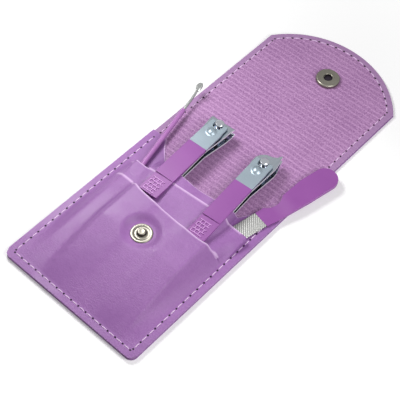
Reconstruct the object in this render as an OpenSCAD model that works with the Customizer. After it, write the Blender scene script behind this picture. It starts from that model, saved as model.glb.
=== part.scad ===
// Manicure set case: a folding leather pouch that carries two nail clippers, a nail file and an ear pick.
// It lies open on its back. X runs across it, Y towards the flap, Z up out of the pocket.
// The origin is the middle of the pocket's back face. Sizes are in millimetres and angles in degrees.

/* [Leather] */
// Width of the case
case_w = 80; // [76:0.5:100]
// Length from the bottom edge to the first fold
fold_y = 108.9; // [104:0.1:120]
// Length of the spine between the two folds, which sets the closed thickness
spine_len = 11.9; // [11.9:0.1:16]
// Length from the second fold to the end of the flap
flap_len = 87.6; // [80:0.1:100]
// Height of the arc at the flap's end
flap_arc = 20.8; // [12:0.1:28]
// Radius of the bottom corners
corner_r = 3.5; // [1:0.5:6]
// Thickness of the outer leather
skin_t = 0.9; // [0.6:0.1:1.4]
// Thickness of the ribbed lining
lining_t = 0.7; // [0.4:0.1:1.2]
// Thickness of the front panel's leather
panel_t = 0.8; // [0.5:0.1:1]
// Width of the flat seam round the pocket
seam_w = 3.75; // [3.7:0.05:4]
// Angle by which the closed flap leans down past square
flap_lean = 1.4; // [0:0.1:2]

/* [Stitching] */
// Distance of the stitches from the edge
stitch_inset = 3.4; // [2.5:0.1:3.4]
// Distance from one stitch to the next
stitch_pitch = 4.5; // [3:0.1:6]
// Length of one stitch
stitch_len = 2.7; // [1.5:0.1:2.9]
// Width of the thread
stitch_w = 0.5; // [0.3:0.1:0.8]
// Height of the thread above the leather
stitch_h = 0.25; // [0.15:0.05:0.5]

/* [Snap] */
// Sideways place of the snap
snap_x = 1.4; // [-3:0.1:3]
// Place of the stud along the pocket
stud_y = 46.5; // [44:0.1:48]
// Diameter of the stud's base
stud_base_d = 10.5; // [8:0.1:11.5]
// Thickness of the stud's base
stud_base_t = 0.5; // [0.3:0.1:0.8]
// Diameter of the stud's post
stud_post_d = 3.9; // [3:0.1:4]
// Height of the stud's post
stud_post_h = 1.5; // [1.2:0.1:1.5]
// Diameter of the socket
socket_d = 12.4; // [10:0.1:14]
// Height of the socket above the lining
socket_h = 2.1; // [2.1:0.1:2.6]
// Diameter of the socket's hole
socket_hole_d = 4.5; // [4.3:0.1:5]
// Diameter of the rivets that hold the snap
snap_rivet_d = 2.8; // [2:0.1:3]

/* [Clippers] */
// Length of a clipper's jaws from the tail to the pivot post
jaw_len = 59; // [54:0.5:62]
// Width of the jaws
jaw_w = 8.4; // [7:0.1:9]
// Width of the straight clipper's head
straight_head_w = 13.6; // [11:0.1:14]
// Reach of the straight clipper's blade past the post
straight_reach = 4; // [3.4:0.1:5]
// Width of the pointed clipper's head
pointed_head_w = 11.8; // [10.8:0.1:13]
// Reach of the pointed clipper's beak past the post
pointed_reach = 10; // [8:0.1:11]
// Sideways place of the beak's tip
beak_x = 3.6; // [0:0.1:4]
// Thickness of one jaw
leaf_t = 1; // [0.8:0.05:1.2]
// Height over both jaws at the head
head_h = 6.2; // [5.8:0.1:6.6]
// Opening between the blades
mouth = 3; // [2.8:0.1:3.2]
// Width of the straight clipper's lever
straight_lever_w = 10.4; // [9:0.1:11]
// Width of the pointed clipper's lever
pointed_lever_w = 9.9; // [9:0.1:11]
// Length of a lever from its tail to the post
lever_len = 53; // [50:0.5:54]
// Thickness of the steel lever
lever_t = 1.1; // [0.9:0.05:1.3]
// Thickness of the grip's wall over the lever
grip_wall = 0.15; // [0.1:0.05:0.3]
// Length of the grip
grip_len = 36.5; // [30:0.5:40]
// Length of the ribbed part of the grip
grip_pad_len = 12.5; // [8:0.5:18]
// Diameter of the pivot post
post_d = 3.2; // [2.6:0.1:3.4]
// Diameter of the pivot post's head
post_head_d = 4.4; // [4:0.1:4.8]
// Diameter of the cross pin that carries the lever
cross_pin_d = 0.84; // [0.7:0.02:0.9]
// Diameter of the rivet at the tail
tail_rivet_d = 2.2; // [1.6:0.1:2.6]

/* [File and pick] */
// Width of the file's blade
file_w = 8.8; // [7:0.1:9]
// Thickness of the file's blade
file_t = 0.45; // [0.4:0.05:0.55]
// Length of the blade that shows above its slit
file_show = 12; // [9:0.5:14]
// Length of the blade below its slit
file_hidden = 29; // [20:0.5:32]
// Length of the file's handle
file_handle_len = 45.2; // [38:0.1:48]
// Width of the handle's round end
file_handle_w = 12; // [10:0.1:12]
// Thickness of the file's handle
file_handle_t = 2; // [1.4:0.1:2.2]
// Diameter of the pick's handle
pick_d = 2.5; // [2:0.1:2.6]
// Length of the pick's handle above its slit
pick_show = 40; // [34:0.5:44]
// Length of the pick's handle below its slit
pick_hidden = 19.5; // [14:0.5:20]
// Diameter of the pick's steel neck
pick_neck_d = 1.4; // [1:0.1:1.8]

/* [Hidden] */
$fn = 48;

purple = [0.60, 0.36, 0.66];
lining_purple = [0.66, 0.42, 0.70];
thread_pink = [0.90, 0.78, 0.92];
chrome = [0.80, 0.82, 0.84];
nickel = [0.68, 0.67, 0.62];
plastic = [0.62, 0.30, 0.68];

gap = 0.2;              // clearance between pieces that pass each other
fine = 0.1;             // running clearance of a pin or a rivet
snap_gap = 0.25;        // between the stud's base and the socket's face when the case is shut
half_w = case_w/2;
flap_y = fold_y + spine_len;
end_y = flap_y + flap_len;
flap_r = (half_w*half_w + flap_arc*flap_arc)/(2*flap_arc);
leather_z = skin_t + lining_t;
seam_z = leather_z + panel_t;
lining_inset = 0.3;     // the lining stops this far inside the outer leather

// Places in the pocket frame, whose Y starts at the bottom edge.
straight_post_at = [-14.3, 117];
straight_tilt = 2.7;
pointed_post_at = [16.4, 114.2];
pointed_tilt = 4.1;
file_at = [30.8, 80.9];
file_tilt = -11.3;
pick_at = [-27.7, 76.4];
pick_tilt = 12;
pick_pitch = 2.4;
pick_z = seam_z + gap + pick_d/2 + 0.25;
pick_steel_in = 12;      // length of the steel inside the plastic rod

// Heights are stacked from the back up: seam, file, clipper jaws, lever, lip of the pocket.
file_handle_z = seam_z + stitch_h + fine;
file_wall = 0.08;                          // plastic under and over the blade where the handle is thin
file_z = file_handle_z + file_wall;
sleeve_top = file_z + file_t + file_wall;
jaw_z = sleeve_top + gap;
head_top = jaw_z + head_h;
pivot_z = head_top + 0.95;                 // height of the cross pin
leaf_gap = 0.08;
tail_top = jaw_z + 2*leaf_t + leaf_gap;    // top of the upper jaw at its tail
rivet_u = 8.5;                             // place of the tail rivet along the jaws
jaw_rise = (head_top - tail_top)/(jaw_len - rivet_u);
lever_dip = 0.6;                           // the stowed lever dips this many degrees towards its tail
grip_t = lever_t + 2*grip_wall;
grip_tail_top = pivot_z + grip_t/2 - lever_len*sin(lever_dip);
lip_z = grip_tail_top + 0.45 + panel_t;    // top of the pocket's lip over a lever
post_top = pivot_z + 0.65;                 // underside of the post's head
band_low_z = tail_top + 1.5 + panel_t;     // top of the band at the long slit
lever_over_mouth = pivot_z - grip_t/2 - (pointed_post_at[1] - 83)*sin(lever_dip);
band_high_z = lever_over_mouth - 0.9*gap;   // top of the band at the pocket's mouth

socket_y = flap_y + (fold_y - stud_y)/cos(flap_lean);
stud_z = leather_z + spine_len - (socket_y - flap_y)*sin(flap_lean) - socket_h - snap_gap - stud_base_t;
snap_washer_d = 9;
snap_washer_t = 0.4;
socket_floor = 0.4;

// Pocket frame to part frame
module placed() translate([0, -fold_y/2, 0]) children();

function clamp01(t) = min(1, max(0, t));
function smooth(t) = let (c = clamp01(t)) c*c*(3 - 2*c);
function mix(a, b, t) = a + (b - a)*t;

// Outline of the whole open case, with round bottom corners and an arc at the flap's end
module case_outline(inset = 0) {
  w = half_w - inset;
  intersection() {
    union() {
      translate([-w, corner_r]) square([2*w, end_y - inset - corner_r]);
      translate([-half_w + corner_r, inset]) square([2*(half_w - corner_r), end_y/2]);
      for (s = [-1, 1]) translate([s*(half_w - corner_r), corner_r]) circle(r = corner_r - inset);
    }
    union() {
      translate([-w, 0]) square([2*w, end_y - flap_arc - inset]);
      translate([0, end_y - flap_r]) circle(r = flap_r - inset, $fn = 128);
    }
  }
}

// The part of the case's outline between two places along it
module case_strip(from_y, to_y, inset = 0) {
  intersection() {
    case_outline(inset);
    translate([-half_w, from_y]) square([case_w, to_y - from_y]);
  }
}

module back_skin() color(purple)
  linear_extrude(skin_t) case_strip(0, fold_y);

module back_lining() color(lining_purple)
  translate([0, 0, skin_t]) linear_extrude(lining_t) case_strip(0, fold_y, lining_inset);

module spine_skin() color(purple)
  linear_extrude(skin_t) case_strip(fold_y, flap_y);

module spine_lining() color(lining_purple)
  translate([0, 0, skin_t]) linear_extrude(lining_t) case_strip(fold_y, flap_y, lining_inset);

module flap_skin() color(purple)
  difference() {
    linear_extrude(skin_t) case_strip(flap_y, end_y);
    translate([snap_x, socket_y, -1]) cylinder(d = snap_rivet_d + 2*fine, h = skin_t + 2);
    translate([snap_x, socket_y, -1]) cylinder(d = socket_d + 2*fine, h = 1 + snap_washer_t);
  }

module flap_lining() color(lining_purple)
  difference() {
    translate([0, 0, skin_t]) linear_extrude(lining_t) case_strip(flap_y, end_y, lining_inset);
    translate([snap_x, socket_y, 0]) cylinder(d = snap_rivet_d + 2*fine, h = leather_z + 1);
  }

// Front panel. Its height is lofted over cross-sections that run across the pocket: the seam at the
// bottom, the lip and the band of the long slit, the lips and bands of the two short slits, the mouth.
mouth_low_y = 82.4;
side_top_y = 98;
slit_ends = [-22.9, 31];
slit_mid = (slit_ends[0] + slit_ends[1])/2;
slit_half = (slit_ends[1] - slit_ends[0])/2;
straight_x = straight_post_at[0] + (straight_post_at[1] - 62)*sin(straight_tilt);
pointed_x = pointed_post_at[0] + (pointed_post_at[1] - 60)*sin(pointed_tilt);
straight_mouth_x = straight_post_at[0] + (straight_post_at[1] - mouth_low_y)*sin(straight_tilt);
pointed_mouth_x = pointed_post_at[0] + (pointed_post_at[1] - mouth_low_y)*sin(pointed_tilt);
band_edge = pointed_mouth_x + jaw_w/2 + 0.5;   // the band falls beside the pointed clipper from here
band_foot = file_at[0] - file_w/2 - 1.5;        // to here, and lies flat under the file
lever_room = 1;         // the lip stays high this far beyond a lever's sides
pick_side_x = -29;      // the panel stands up over the pick from here on
pick_side_z = 6.7;
side_in = half_w - seam_w;
side_edge = side_in - 0.35;

// The long slit: nearly straight, with its ends turned up
function long_slit_y(x) = 61.5 - 0.055*x + 2.6*pow(min(1, abs(x - slit_mid)/slit_half), 6);
// The line that holds both short slits
function short_slit_y(x) = mix(75.8, 79, clamp01((x + 20)/40));
// The pocket's mouth: a wide U
function mouth_y(x) = lookup(x, [
  [-31.5, side_top_y], [-29, 94.6], [-24.8, 90], [-21, 86.6], [-18, 84.4], [-13, 82.9], [0, mouth_low_y],
  [12, 82.8], [20, 83.1], [band_edge, 83.9], [band_foot, 86.6], [28, 92.3], [30.5, 95.8], [33, side_top_y]]);

function lip_profile(x) = lookup(x, [
  [-side_in, seam_z], [pick_side_x, pick_side_z], [slit_ends[0], pick_side_z + 0.5],
  [straight_x - straight_lever_w/2 - lever_room, lip_z],
  [straight_x + straight_lever_w/2 + lever_room, lip_z],
  [straight_x + straight_lever_w/2 + 7, lip_z - 1], [pointed_x - pointed_lever_w/2 - 6, lip_z - 1],
  [pointed_x - pointed_lever_w/2 - lever_room, lip_z], [pointed_x + pointed_lever_w/2 + 2*lever_room, lip_z],
  [slit_ends[1], 6.5], [side_in, seam_z]]);
function band_profile(x) = lookup(x, [
  [-side_in, seam_z], [pick_side_x, pick_side_z], [slit_ends[0], pick_side_z + 0.5],
  [straight_x - jaw_w/2 - 1, band_low_z], [straight_x + jaw_w/2 + 1, band_low_z],
  [slit_mid, band_low_z - 0.6],
  [pointed_x - jaw_w/2 - 1, band_low_z], [pointed_x + jaw_w/2 + 1, band_low_z],
  [slit_ends[1], 6.5], [side_in, seam_z]]);
// Over the pick on the left and the file on the right
function short_lip_profile(x) = lookup(x, [
  [-side_in, seam_z], [pick_at[0] - 3.6, 5], [pick_at[0] - 2.2, 7.9], [pick_at[0] + 3.4, 7.9],
  [straight_mouth_x - jaw_w/2 - 1.5, band_high_z - fine], [band_edge, band_high_z - fine],
  [band_foot + 0.9, 6.6], [side_edge, 5.9], [side_in, seam_z]]);
function short_band_profile(x) = lookup(x, [
  [pick_at[0] + 3.4, seam_z], [pick_at[0] + 5.4, band_high_z - 1],
  [straight_mouth_x - jaw_w/2 - 1.5, band_high_z - fine], [band_edge, band_high_z - fine],
  [band_foot, seam_z]]);
function mouth_profile(x) = lookup(x, [
  [straight_mouth_x - jaw_w/2 - 4, seam_z], [straight_mouth_x - jaw_w/2 - 1.2, band_high_z],
  [straight_mouth_x + jaw_w/2 + 1, band_high_z], [slit_mid, band_high_z - 0.9],
  [pointed_mouth_x - jaw_w/2 - 1, band_high_z], [band_edge, band_high_z],
  [band_foot, seam_z]]);

seam_foot = seam_w + 0.25;  // the panel rises from here
lip_flat_y = 42.5;      // the pocket is at its full height from here to the lip
seat_r = stud_base_d/2 + 0.4;
seat_blend = 3;         // width of the slope round the snap's flat seat
function seat_pull(x, y) = smooth(1 - (norm([x - snap_x, y - stud_y]) - seat_r)/seat_blend);
function lower_z(x, y) =
  let (t = clamp01((y - seam_foot)/(lip_flat_y - seam_foot)),
       under_flap = max(0, long_slit_y(x) - y)*sin(flap_lean)/(lip_z - seam_z),
       z = seam_z + (lip_profile(x) - seam_z)*(1 - under_flap)*t*(1.25 - 0.25*t))
  mix(z, stud_z, seat_pull(x, y));

// Columns of the loft: they meet each place where the leather bends sharply
col_pitch = 1.6;
col_stops = [-half_w, -side_in, pick_at[0] - 3.6, pick_at[0] + 3.4, band_edge, band_foot, side_edge, side_in];
function steps(a, b) = let (n = ceil((b - a)/col_pitch)) [for (i = [0:n - 1]) mix(a, b, i/n)];
panel_xs = concat([for (k = [0:len(col_stops) - 2]) each steps(col_stops[k], col_stops[k + 1])],
  [side_in, half_w]);
seam_row = seam_w/62;
flat_row = lip_flat_y/60.5;
lower_rows = concat([0, seam_row], [for (k = [1:9]) mix(seam_row, flat_row, k/9)],
  [for (k = [1:5]) mix(flat_row, 1, k/5)]);
upper_rows = [for (k = [0:5]) k/5];

function lower_grid() = [for (t = lower_rows) [for (x = panel_xs)
  let (y = t*long_slit_y(x)) [x, y, lower_z(x, y)]]];
function middle_grid() = [for (t = upper_rows) [for (x = panel_xs)
  [x, mix(long_slit_y(x), short_slit_y(x), t),
    mix(band_profile(x), short_lip_profile(x), smooth(t))]]];
function upper_grid() = [for (t = upper_rows) [for (x = panel_xs)
  [x, mix(short_slit_y(x), mouth_y(x), t),
    mix(short_band_profile(x), mouth_profile(x), smooth(t))]]];

// A sheet of even thickness whose top follows a grid of points, rows along Y and columns along X
module sheet(grid, thickness) {
  rows = len(grid);
  cols = len(grid[0]);
  top = [for (row = grid) for (p = row) p];
  low = [for (p = top) [p[0], p[1], p[2] - thickness]];
  n = rows*cols;
  function at(r, c) = r*cols + c;
  faces = concat(
    [for (r = [0:rows - 2]) for (c = [0:cols - 2]) each [
      [at(r, c), at(r + 1, c + 1), at(r, c + 1)], [at(r, c), at(r + 1, c), at(r + 1, c + 1)],
      [n + at(r, c), n + at(r, c + 1), n + at(r + 1, c + 1)],
      [n + at(r, c), n + at(r + 1, c + 1), n + at(r + 1, c)]]],
    [for (r = [0, rows - 1]) for (c = [0:cols - 2])
      let (a = at(r, c), b = at(r, c + 1)) each r == 0
        ? [[a, b, n + b], [a, n + b, n + a]]
        : [[b, a, n + a], [b, n + a, n + b]]],
    [for (c = [0, cols - 1]) for (r = [0:rows - 2])
      let (a = at(r, c), b = at(r + 1, c)) each c == 0
        ? [[b, a, n + a], [b, n + a, n + b]]
        : [[a, b, n + b], [a, n + b, n + a]]]);
  polyhedron(points = concat(top, low), faces = faces);
}

module front_panel() color(purple)
  difference() {
    union() {
      intersection() {
        union() {
          sheet(lower_grid(), panel_t);
          sheet(middle_grid(), panel_t);
          sheet(upper_grid(), panel_t);
        }
        linear_extrude(60) case_outline();
      }
      translate([snap_x, stud_y, stud_z - panel_t]) cylinder(r = seat_r, h = panel_t);
    }
    translate([snap_x, stud_y, stud_z]) cylinder(r = seat_r, h = 3);
    translate([snap_x, stud_y, stud_z - panel_t - 3]) cylinder(r = seat_r, h = 3);
    translate([snap_x, stud_y, 0]) cylinder(d = snap_rivet_d + 2*fine, h = 30);
  }

// One stitch lying along Y
module stitch(z) translate([-stitch_w/2, -stitch_len/2, z]) cube([stitch_w, stitch_len, stitch_h]);

stitch_x = half_w - stitch_inset;
bottom_stitches = floor((2*stitch_x - 2)/stitch_pitch);
function stitch_zone(y) = y < side_top_y - 2.2 ? seam_z : leather_z;
// Side stitches whose middles lie in a stretch of the case, clear of its ends
function side_stitches(from_y, to_y) =
  [for (k = [1:60]) let (y = k*stitch_pitch + stitch_inset - 1)
    if (y - stitch_len/2 > from_y + 0.3 && y + stitch_len/2 < to_y - 0.3) y];

module side_row(ys, zs) for (s = [-1, 1]) for (i = [0:len(ys) - 1])
  translate([s*stitch_x, ys[i], 0]) stitch(zs[i]);

module pocket_stitching() color(thread_pink) {
  on_panel = side_stitches(stitch_inset, side_top_y);
  on_back = side_stitches(side_top_y, fold_y);
  side_row(on_panel, [for (y = on_panel) seam_z]);
  side_row(on_back, [for (y = on_back) leather_z]);
  for (k = [0:bottom_stitches])
    translate([(k - bottom_stitches/2)*stitch_pitch, stitch_inset, 0]) rotate([0, 0, 90]) stitch(seam_z);
}

module spine_stitching() color(thread_pink) {
  ys = side_stitches(fold_y, flap_y);
  side_row(ys, [for (y = ys) leather_z]);
}

module flap_stitching() color(thread_pink) {
  ys = side_stitches(flap_y, end_y - flap_arc - 1);
  side_row(ys, [for (y = ys) leather_z]);
  arc_r = flap_r - stitch_inset;
  half_angle = asin((stitch_x - 1.5)/arc_r);
  count = floor(2*half_angle*PI/180*arc_r/stitch_pitch);
  for (k = [0:count])
    translate([0, end_y - flap_r, 0]) rotate([0, 0, (k - count/2)*2*half_angle/count])
      translate([0, arc_r, 0]) rotate([0, 0, 90]) stitch(leather_z);
}

module snap_stud() color(nickel)
  translate([snap_x, stud_y, stud_z]) rotate_extrude() polygon([
    [0, -panel_t - snap_washer_t], [snap_rivet_d/2, -panel_t - snap_washer_t], [snap_rivet_d/2, 0],
    [stud_base_d/2 - 0.2, 0], [stud_base_d/2, 0.2], [stud_base_d/2 - 0.3, stud_base_t],
    [stud_post_d/2 + 0.5, stud_base_t - 0.15], [stud_post_d/2 - 0.25, stud_base_t + 0.1],
    [stud_post_d/2 - 0.3, stud_base_t + stud_post_h - 0.9], [stud_post_d/2, stud_base_t + stud_post_h - 0.6],
    [stud_post_d/2 - 0.1, stud_base_t + stud_post_h - 0.2], [stud_post_d/2 - 0.6, stud_base_t + stud_post_h],
    [0, stud_base_t + stud_post_h]]);

module snap_stud_back() color(nickel)
  translate([snap_x, stud_y, stud_z - panel_t - snap_washer_t]) difference() {
    cylinder(d = snap_washer_d, h = snap_washer_t);
    translate([0, 0, -1]) cylinder(d = snap_rivet_d, h = snap_washer_t + 2);
  }

// The socket is a hollow ring; its rivet tube goes down through the leather to the cap
module snap_socket() color(nickel)
  translate([snap_x, socket_y, leather_z]) difference() {
    rotate_extrude() polygon([
      [0, 0], [socket_d/2 - 0.5, 0], [socket_d/2, 0.5], [socket_d/2, socket_h - 0.7],
      [socket_d/2 - 0.6, socket_h - 0.1], [socket_d/2 - 1, socket_h], [socket_hole_d/2 + 1.2, socket_h - 0.1],
      [socket_hole_d/2 + 0.4, socket_h], [0, socket_h]]);
    translate([0, 0, -1]) cylinder(d = snap_rivet_d, h = 1 + socket_floor);
    translate([0, 0, socket_floor]) cylinder(d = socket_hole_d + 1.6, h = 0.9);
    translate([0, 0, socket_floor]) cylinder(d = socket_hole_d, h = socket_h);
  }

// Two straight wires that grip the stud, in the socket's groove
module snap_spring() color(nickel)
  for (s = [-1, 1]) translate([snap_x + s*2.35, socket_y - 1.6, leather_z + 0.95])
    rotate([-90, 0, 0]) cylinder(d = 0.5, h = 3.2);

module snap_cap() color(nickel)
  translate([snap_x, socket_y, 0]) {
    cylinder(d = socket_d, h = snap_washer_t);
    cylinder(d = snap_rivet_d, h = leather_z + socket_floor);
  }

// Clipper frame: X across, Y along from the tail of the jaws, Z up. The post stands at Y = jaw_len.
module clipper_frame(at, tilt)
  translate([at[0], at[1], 0]) rotate([0, 0, tilt]) translate([0, -jaw_len, 0]) children();

// A shape drawn as a side view (Y, Z) and given a width
module side_slab(width) rotate([90, 0, 90]) linear_extrude(width, center = true) children();

// Plan of the straight clipper's jaws: a strip that widens to a head with a slightly hollow edge
module straight_plan() difference() {
  polygon([
    [-jaw_w/2 + 1, 0], [jaw_w/2 - 1, 0], [jaw_w/2, 1], [jaw_w/2, jaw_len - 16],
    [straight_head_w/2 - 0.5, jaw_len - 3], [straight_head_w/2, jaw_len + straight_reach],
    [-straight_head_w/2, jaw_len + straight_reach], [-straight_head_w/2 + 0.5, jaw_len - 3],
    [-jaw_w/2, jaw_len - 16], [-jaw_w/2, 1]]);
  translate([0, jaw_len + straight_reach + 39.4]) circle(r = 40, $fn = 160);
}

// Plan of the pointed clipper's jaws: round shoulders that run into a beak at one side
module pointed_plan() {
  y = jaw_len;
  polygon([
    [-jaw_w/2 + 1, 0], [jaw_w/2 - 1, 0], [jaw_w/2, 1], [jaw_w/2, y - 16],
    [pointed_head_w/2 - 0.4, y - 4], [pointed_head_w/2, y], [pointed_head_w/2 - 0.1, y + 2.5],
    [beak_x + 1.5, y + 5.2], [beak_x + 0.7, y + pointed_reach - 2.2], [beak_x + 0.35, y + pointed_reach],
    [beak_x - 0.35, y + pointed_reach], [beak_x - 1.1, y + pointed_reach - 2.4], [beak_x - 3, y + 6.2],
    [-2.6, y + 5.4], [-4.6, y + 3.6], [-pointed_head_w/2 + 0.1, y + 1.2], [-pointed_head_w/2, y - 2],
    [-jaw_w/2, y - 16], [-jaw_w/2, 1]]);
}

// Side view of the lower jaw: a flat leaf that curls up to the blade's edge
module lower_side(reach) {
  y = jaw_len;
  e = jaw_z + (head_h - mouth)/2;
  polygon([[0, jaw_z], [y + reach*0.35, jaw_z], [y + reach*0.8, jaw_z + 0.7], [y + reach, e - 0.3],
    [y + reach, e], [y + reach*0.75, e - 0.2], [y + reach*0.4, jaw_z + leaf_t + 0.1],
    [y + reach*0.2, jaw_z + leaf_t], [0, jaw_z + leaf_t]]);
}

// Side view of the upper jaw: it lies on the lower one up to the rivet, rises, and curls down to its edge
module upper_side(reach) {
  y = jaw_len;
  low = tail_top - leaf_t;
  e = head_top - (head_h - mouth)/2;
  polygon([[0, low], [rivet_u, low], [y, head_top - leaf_t], [y + reach*0.2, head_top - leaf_t - 0.05],
    [y + reach*0.55, head_top - leaf_t - 0.5], [y + reach*0.85, e + 0.1], [y + reach, e],
    [y + reach, e + 0.35], [y + reach*0.8, head_top - 0.6], [y + reach*0.4, head_top - 0.05],
    [y, head_top], [rivet_u, tail_top], [0, tail_top]]);
}

module lower_jaw(reach) difference() {
  intersection() {
    translate([0, 0, jaw_z - 1]) linear_extrude(head_h + 2) children();
    side_slab(30) lower_side(reach);
  }
  translate([0, jaw_len, jaw_z - 1]) cylinder(d = post_d + 2*fine, h = 4);
  translate([0, jaw_len, jaw_z - 1]) cylinder(d = post_d + 1.3 + 2*fine, h = 1.5);
  translate([0, rivet_u, jaw_z - 1]) cylinder(d = tail_rivet_d, h = 4);
  translate([0, rivet_u, jaw_z - 1]) cylinder(d = tail_rivet_d + 1.4, h = 1.4);
}

module upper_jaw(reach) difference() {
  intersection() {
    translate([0, 0, jaw_z - 1]) linear_extrude(head_h + 2) children();
    side_slab(30) upper_side(reach);
  }
  translate([0, jaw_len, head_top - 4]) cylinder(d = post_d + 1, h = 6);
  translate([0, rivet_u, jaw_z + leaf_t]) cylinder(d = tail_rivet_d + 0.5, h = 4);
}

// Rivet through the tails, with its lower head sunk in the lower jaw
module tail_rivet() translate([0, rivet_u, 0]) {
  translate([0, 0, jaw_z]) cylinder(d = tail_rivet_d + 1.4, h = 0.4);
  translate([0, 0, jaw_z]) cylinder(d = tail_rivet_d, h = tail_top - jaw_z + 0.6);
  translate([0, 0, tail_top + 0.2]) cylinder(d = tail_rivet_d + 1.4, h = 0.4);
}

// Post that turns in the jaws and carries the lever on its cross pin
module pivot_post() translate([0, jaw_len, 0]) difference() {
  union() {
    translate([0, 0, jaw_z + 0.02]) cylinder(d = post_d + 1.3, h = 0.45);
    translate([0, 0, jaw_z + 0.02]) cylinder(d = post_d, h = post_top - jaw_z);
    translate([0, 0, post_top]) cylinder(d = post_head_d, h = 0.55);
    translate([0, 0, post_top + 0.55]) cylinder(d1 = post_head_d, d2 = post_head_d - 1.2, h = 0.35, $fn = 48);
  }
  translate([-5, 0, pivot_z]) rotate([0, 90, 0]) cylinder(d = cross_pin_d, h = 10);
}

slot_w = post_head_d + 0.4;
ear_w = 2.4;
ear_out = slot_w/2 + ear_w;

module cross_pin() translate([-ear_out + 0.3, jaw_len, pivot_z]) rotate([0, 90, 0])
  cylinder(d = cross_pin_d, h = 2*ear_out - 0.6);

// Turns the lever's own frame down to the stowed lever
module lever_frame() translate([0, jaw_len, pivot_z]) rotate([lever_dip, 0, 0]) children();

// Steel lever with a fork round the post's head and a round fulcrum bump
module lever(w) lever_frame() {
  bump_y = -6.2;
  bump_r = 3.2;
  bump_h = 1.1;
  slot_end = -(post_head_d/2 + 0.9);
  neck_y = -4.6;
  difference() {
    union() {
      translate([0, 0, -lever_t/2]) linear_extrude(lever_t) polygon([
        [-w/2, grip_len - lever_len], [w/2, grip_len - lever_len], [w/2, neck_y - 1], [ear_out, neck_y + 1],
        [ear_out, 0], [-ear_out, 0], [-ear_out, neck_y + 1], [-w/2, neck_y - 1]]);
      translate([0, 0, -lever_t/2 + 0.25]) linear_extrude(lever_t - 0.5)
        translate([-w/2 + 1, -lever_len + 1.5]) square([w - 2, grip_len]);
      translate([-ear_out, 0, 0]) rotate([0, 90, 0]) cylinder(r = 0.7, h = 2*ear_out);
      intersection() {
        translate([0, bump_y, lever_t/2 + bump_h - bump_r]) sphere(r = bump_r);
        translate([-3, bump_y - 3, 0]) cube([6, 6, 4]);
      }
    }
    translate([-slot_w/2, slot_end, -3]) cube([slot_w, 10, 6]);
    translate([-10, 0, 0]) rotate([0, 90, 0]) cylinder(d = cross_pin_d + 0.08, h = 20);
  }
}

// Moulded grip over the lever's tail: a flat part, a step, and a pad with rows of short bars
module grip(w) lever_frame() {
  start = -lever_len;
  step = start + grip_pad_len;
  finish = start + grip_len;
  top = grip_t/2;
  sink = 0.35;
  bar_rows = 5;
  bar_pitch = (grip_pad_len - 2.5)/bar_rows;
  difference() {
    union() {
      translate([0, 0, -top]) linear_extrude(grip_t - sink) polygon([
        [-w/2 + 0.8, start], [w/2 - 0.8, start], [w/2, start + 0.8], [w/2, finish],
        [-w/2, finish], [-w/2, start + 0.8]]);
      translate([-w/2, step, 0]) cube([w, finish - step, top]);
      for (row = [0:bar_rows - 1]) for (k = [0:2])
        let (shift = (row % 2)*1.2)
        translate([(k - 1)*w*0.29 - w*0.11 + shift - 0.6, start + 1.3 + row*bar_pitch, top - sink])
          cube([w*0.22, bar_pitch*0.62, sink]);
    }
    translate([-w/2 + 1, start + 1.5, -lever_t/2 + 0.25]) cube([w - 2, grip_len, lever_t - 0.5]);
  }
}

// File frame: X across, Y along from the slit
module file_frame() translate([file_at[0], file_at[1], 0]) rotate([0, 0, file_tilt]) children();

// The tang holds the blade in the handle
module file_tang() translate([0, 0, file_z]) linear_extrude(file_t)
  translate([-1.2, file_show - 0.01]) square([4.5, 16]);

module file_blade() color(nickel) file_frame() {
  translate([0, 0, file_z]) linear_extrude(file_t) polygon([
    [-file_w/2, file_show], [-file_w/2, -file_hidden + 3], [-file_w/2 + 1.6, -file_hidden + 0.8],
    [-1.5, -file_hidden], [1.5, -file_hidden], [file_w/2 - 1.6, -file_hidden + 0.8],
    [file_w/2, -file_hidden + 3], [file_w/2, file_show]]);
  file_tang();
}

// Plan of the file's handle: it widens to a round end and has a thumb notch near the blade
module file_handle_plan() {
  start = file_show;
  end_r = file_handle_w/2;
  end_y = start + file_handle_len - end_r;
  notch_r = 7.9;
  notch_in = -1.9;
  difference() {
    union() {
      polygon([[-file_w/2, start], [file_w/2 + 0.3, start], [end_r - 0.4, start + 12], [end_r, start + 24],
        [end_r, end_y], [-end_r, end_y], [-end_r, start + 29], [-4, start + 17], [-4.4, start + 5]]);
      translate([0, end_y]) circle(r = end_r, $fn = 64);
    }
    translate([notch_in - notch_r, start + 10.8]) circle(r = notch_r, $fn = 96);
  }
}

module file_handle() color(plastic) file_frame() difference() {
  thin_len = 7;
  union() {
    translate([0, 0, file_handle_z]) linear_extrude(sleeve_top - file_handle_z) file_handle_plan();
    translate([0, 0, file_handle_z]) linear_extrude(file_handle_t) intersection() {
      file_handle_plan();
      translate([-20, file_show + thin_len]) square([40, file_handle_len]);
    }
  }
  file_tang();
}

// Pick frame: X across, Y along from the slit, tipped up towards the spoon
module pick_frame() translate([pick_at[0], pick_at[1], pick_z]) rotate([0, 0, pick_tilt])
  rotate([pick_pitch, 0, 0]) children();

module pick_handle() color(plastic) pick_frame() difference() {
  translate([0, -pick_hidden, 0]) rotate([-90, 0, 0]) cylinder(d = pick_d, h = pick_hidden + pick_show);
  translate([0, pick_show - pick_steel_in, 0]) rotate([-90, 0, 0])
    cylinder(d = pick_neck_d, h = pick_steel_in + 1);
}

// Small bowl, hollow upwards: an oval cut from the wall of a tube
module spoon() {
  bowl_r = 2.4;
  wall = 0.35;
  intersection() {
    translate([0, 0, -1]) linear_extrude(3) polygon([for (a = [0:20:340]) [1.6*cos(a), 2.8*sin(a)]]);
    translate([0, 4, bowl_r - 0.6]) rotate([90, 0, 0]) difference() {
      cylinder(r = bowl_r, h = 8);
      translate([0, 0, -1]) cylinder(r = bowl_r - wall, h = 10);
    }
  }
}

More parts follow.
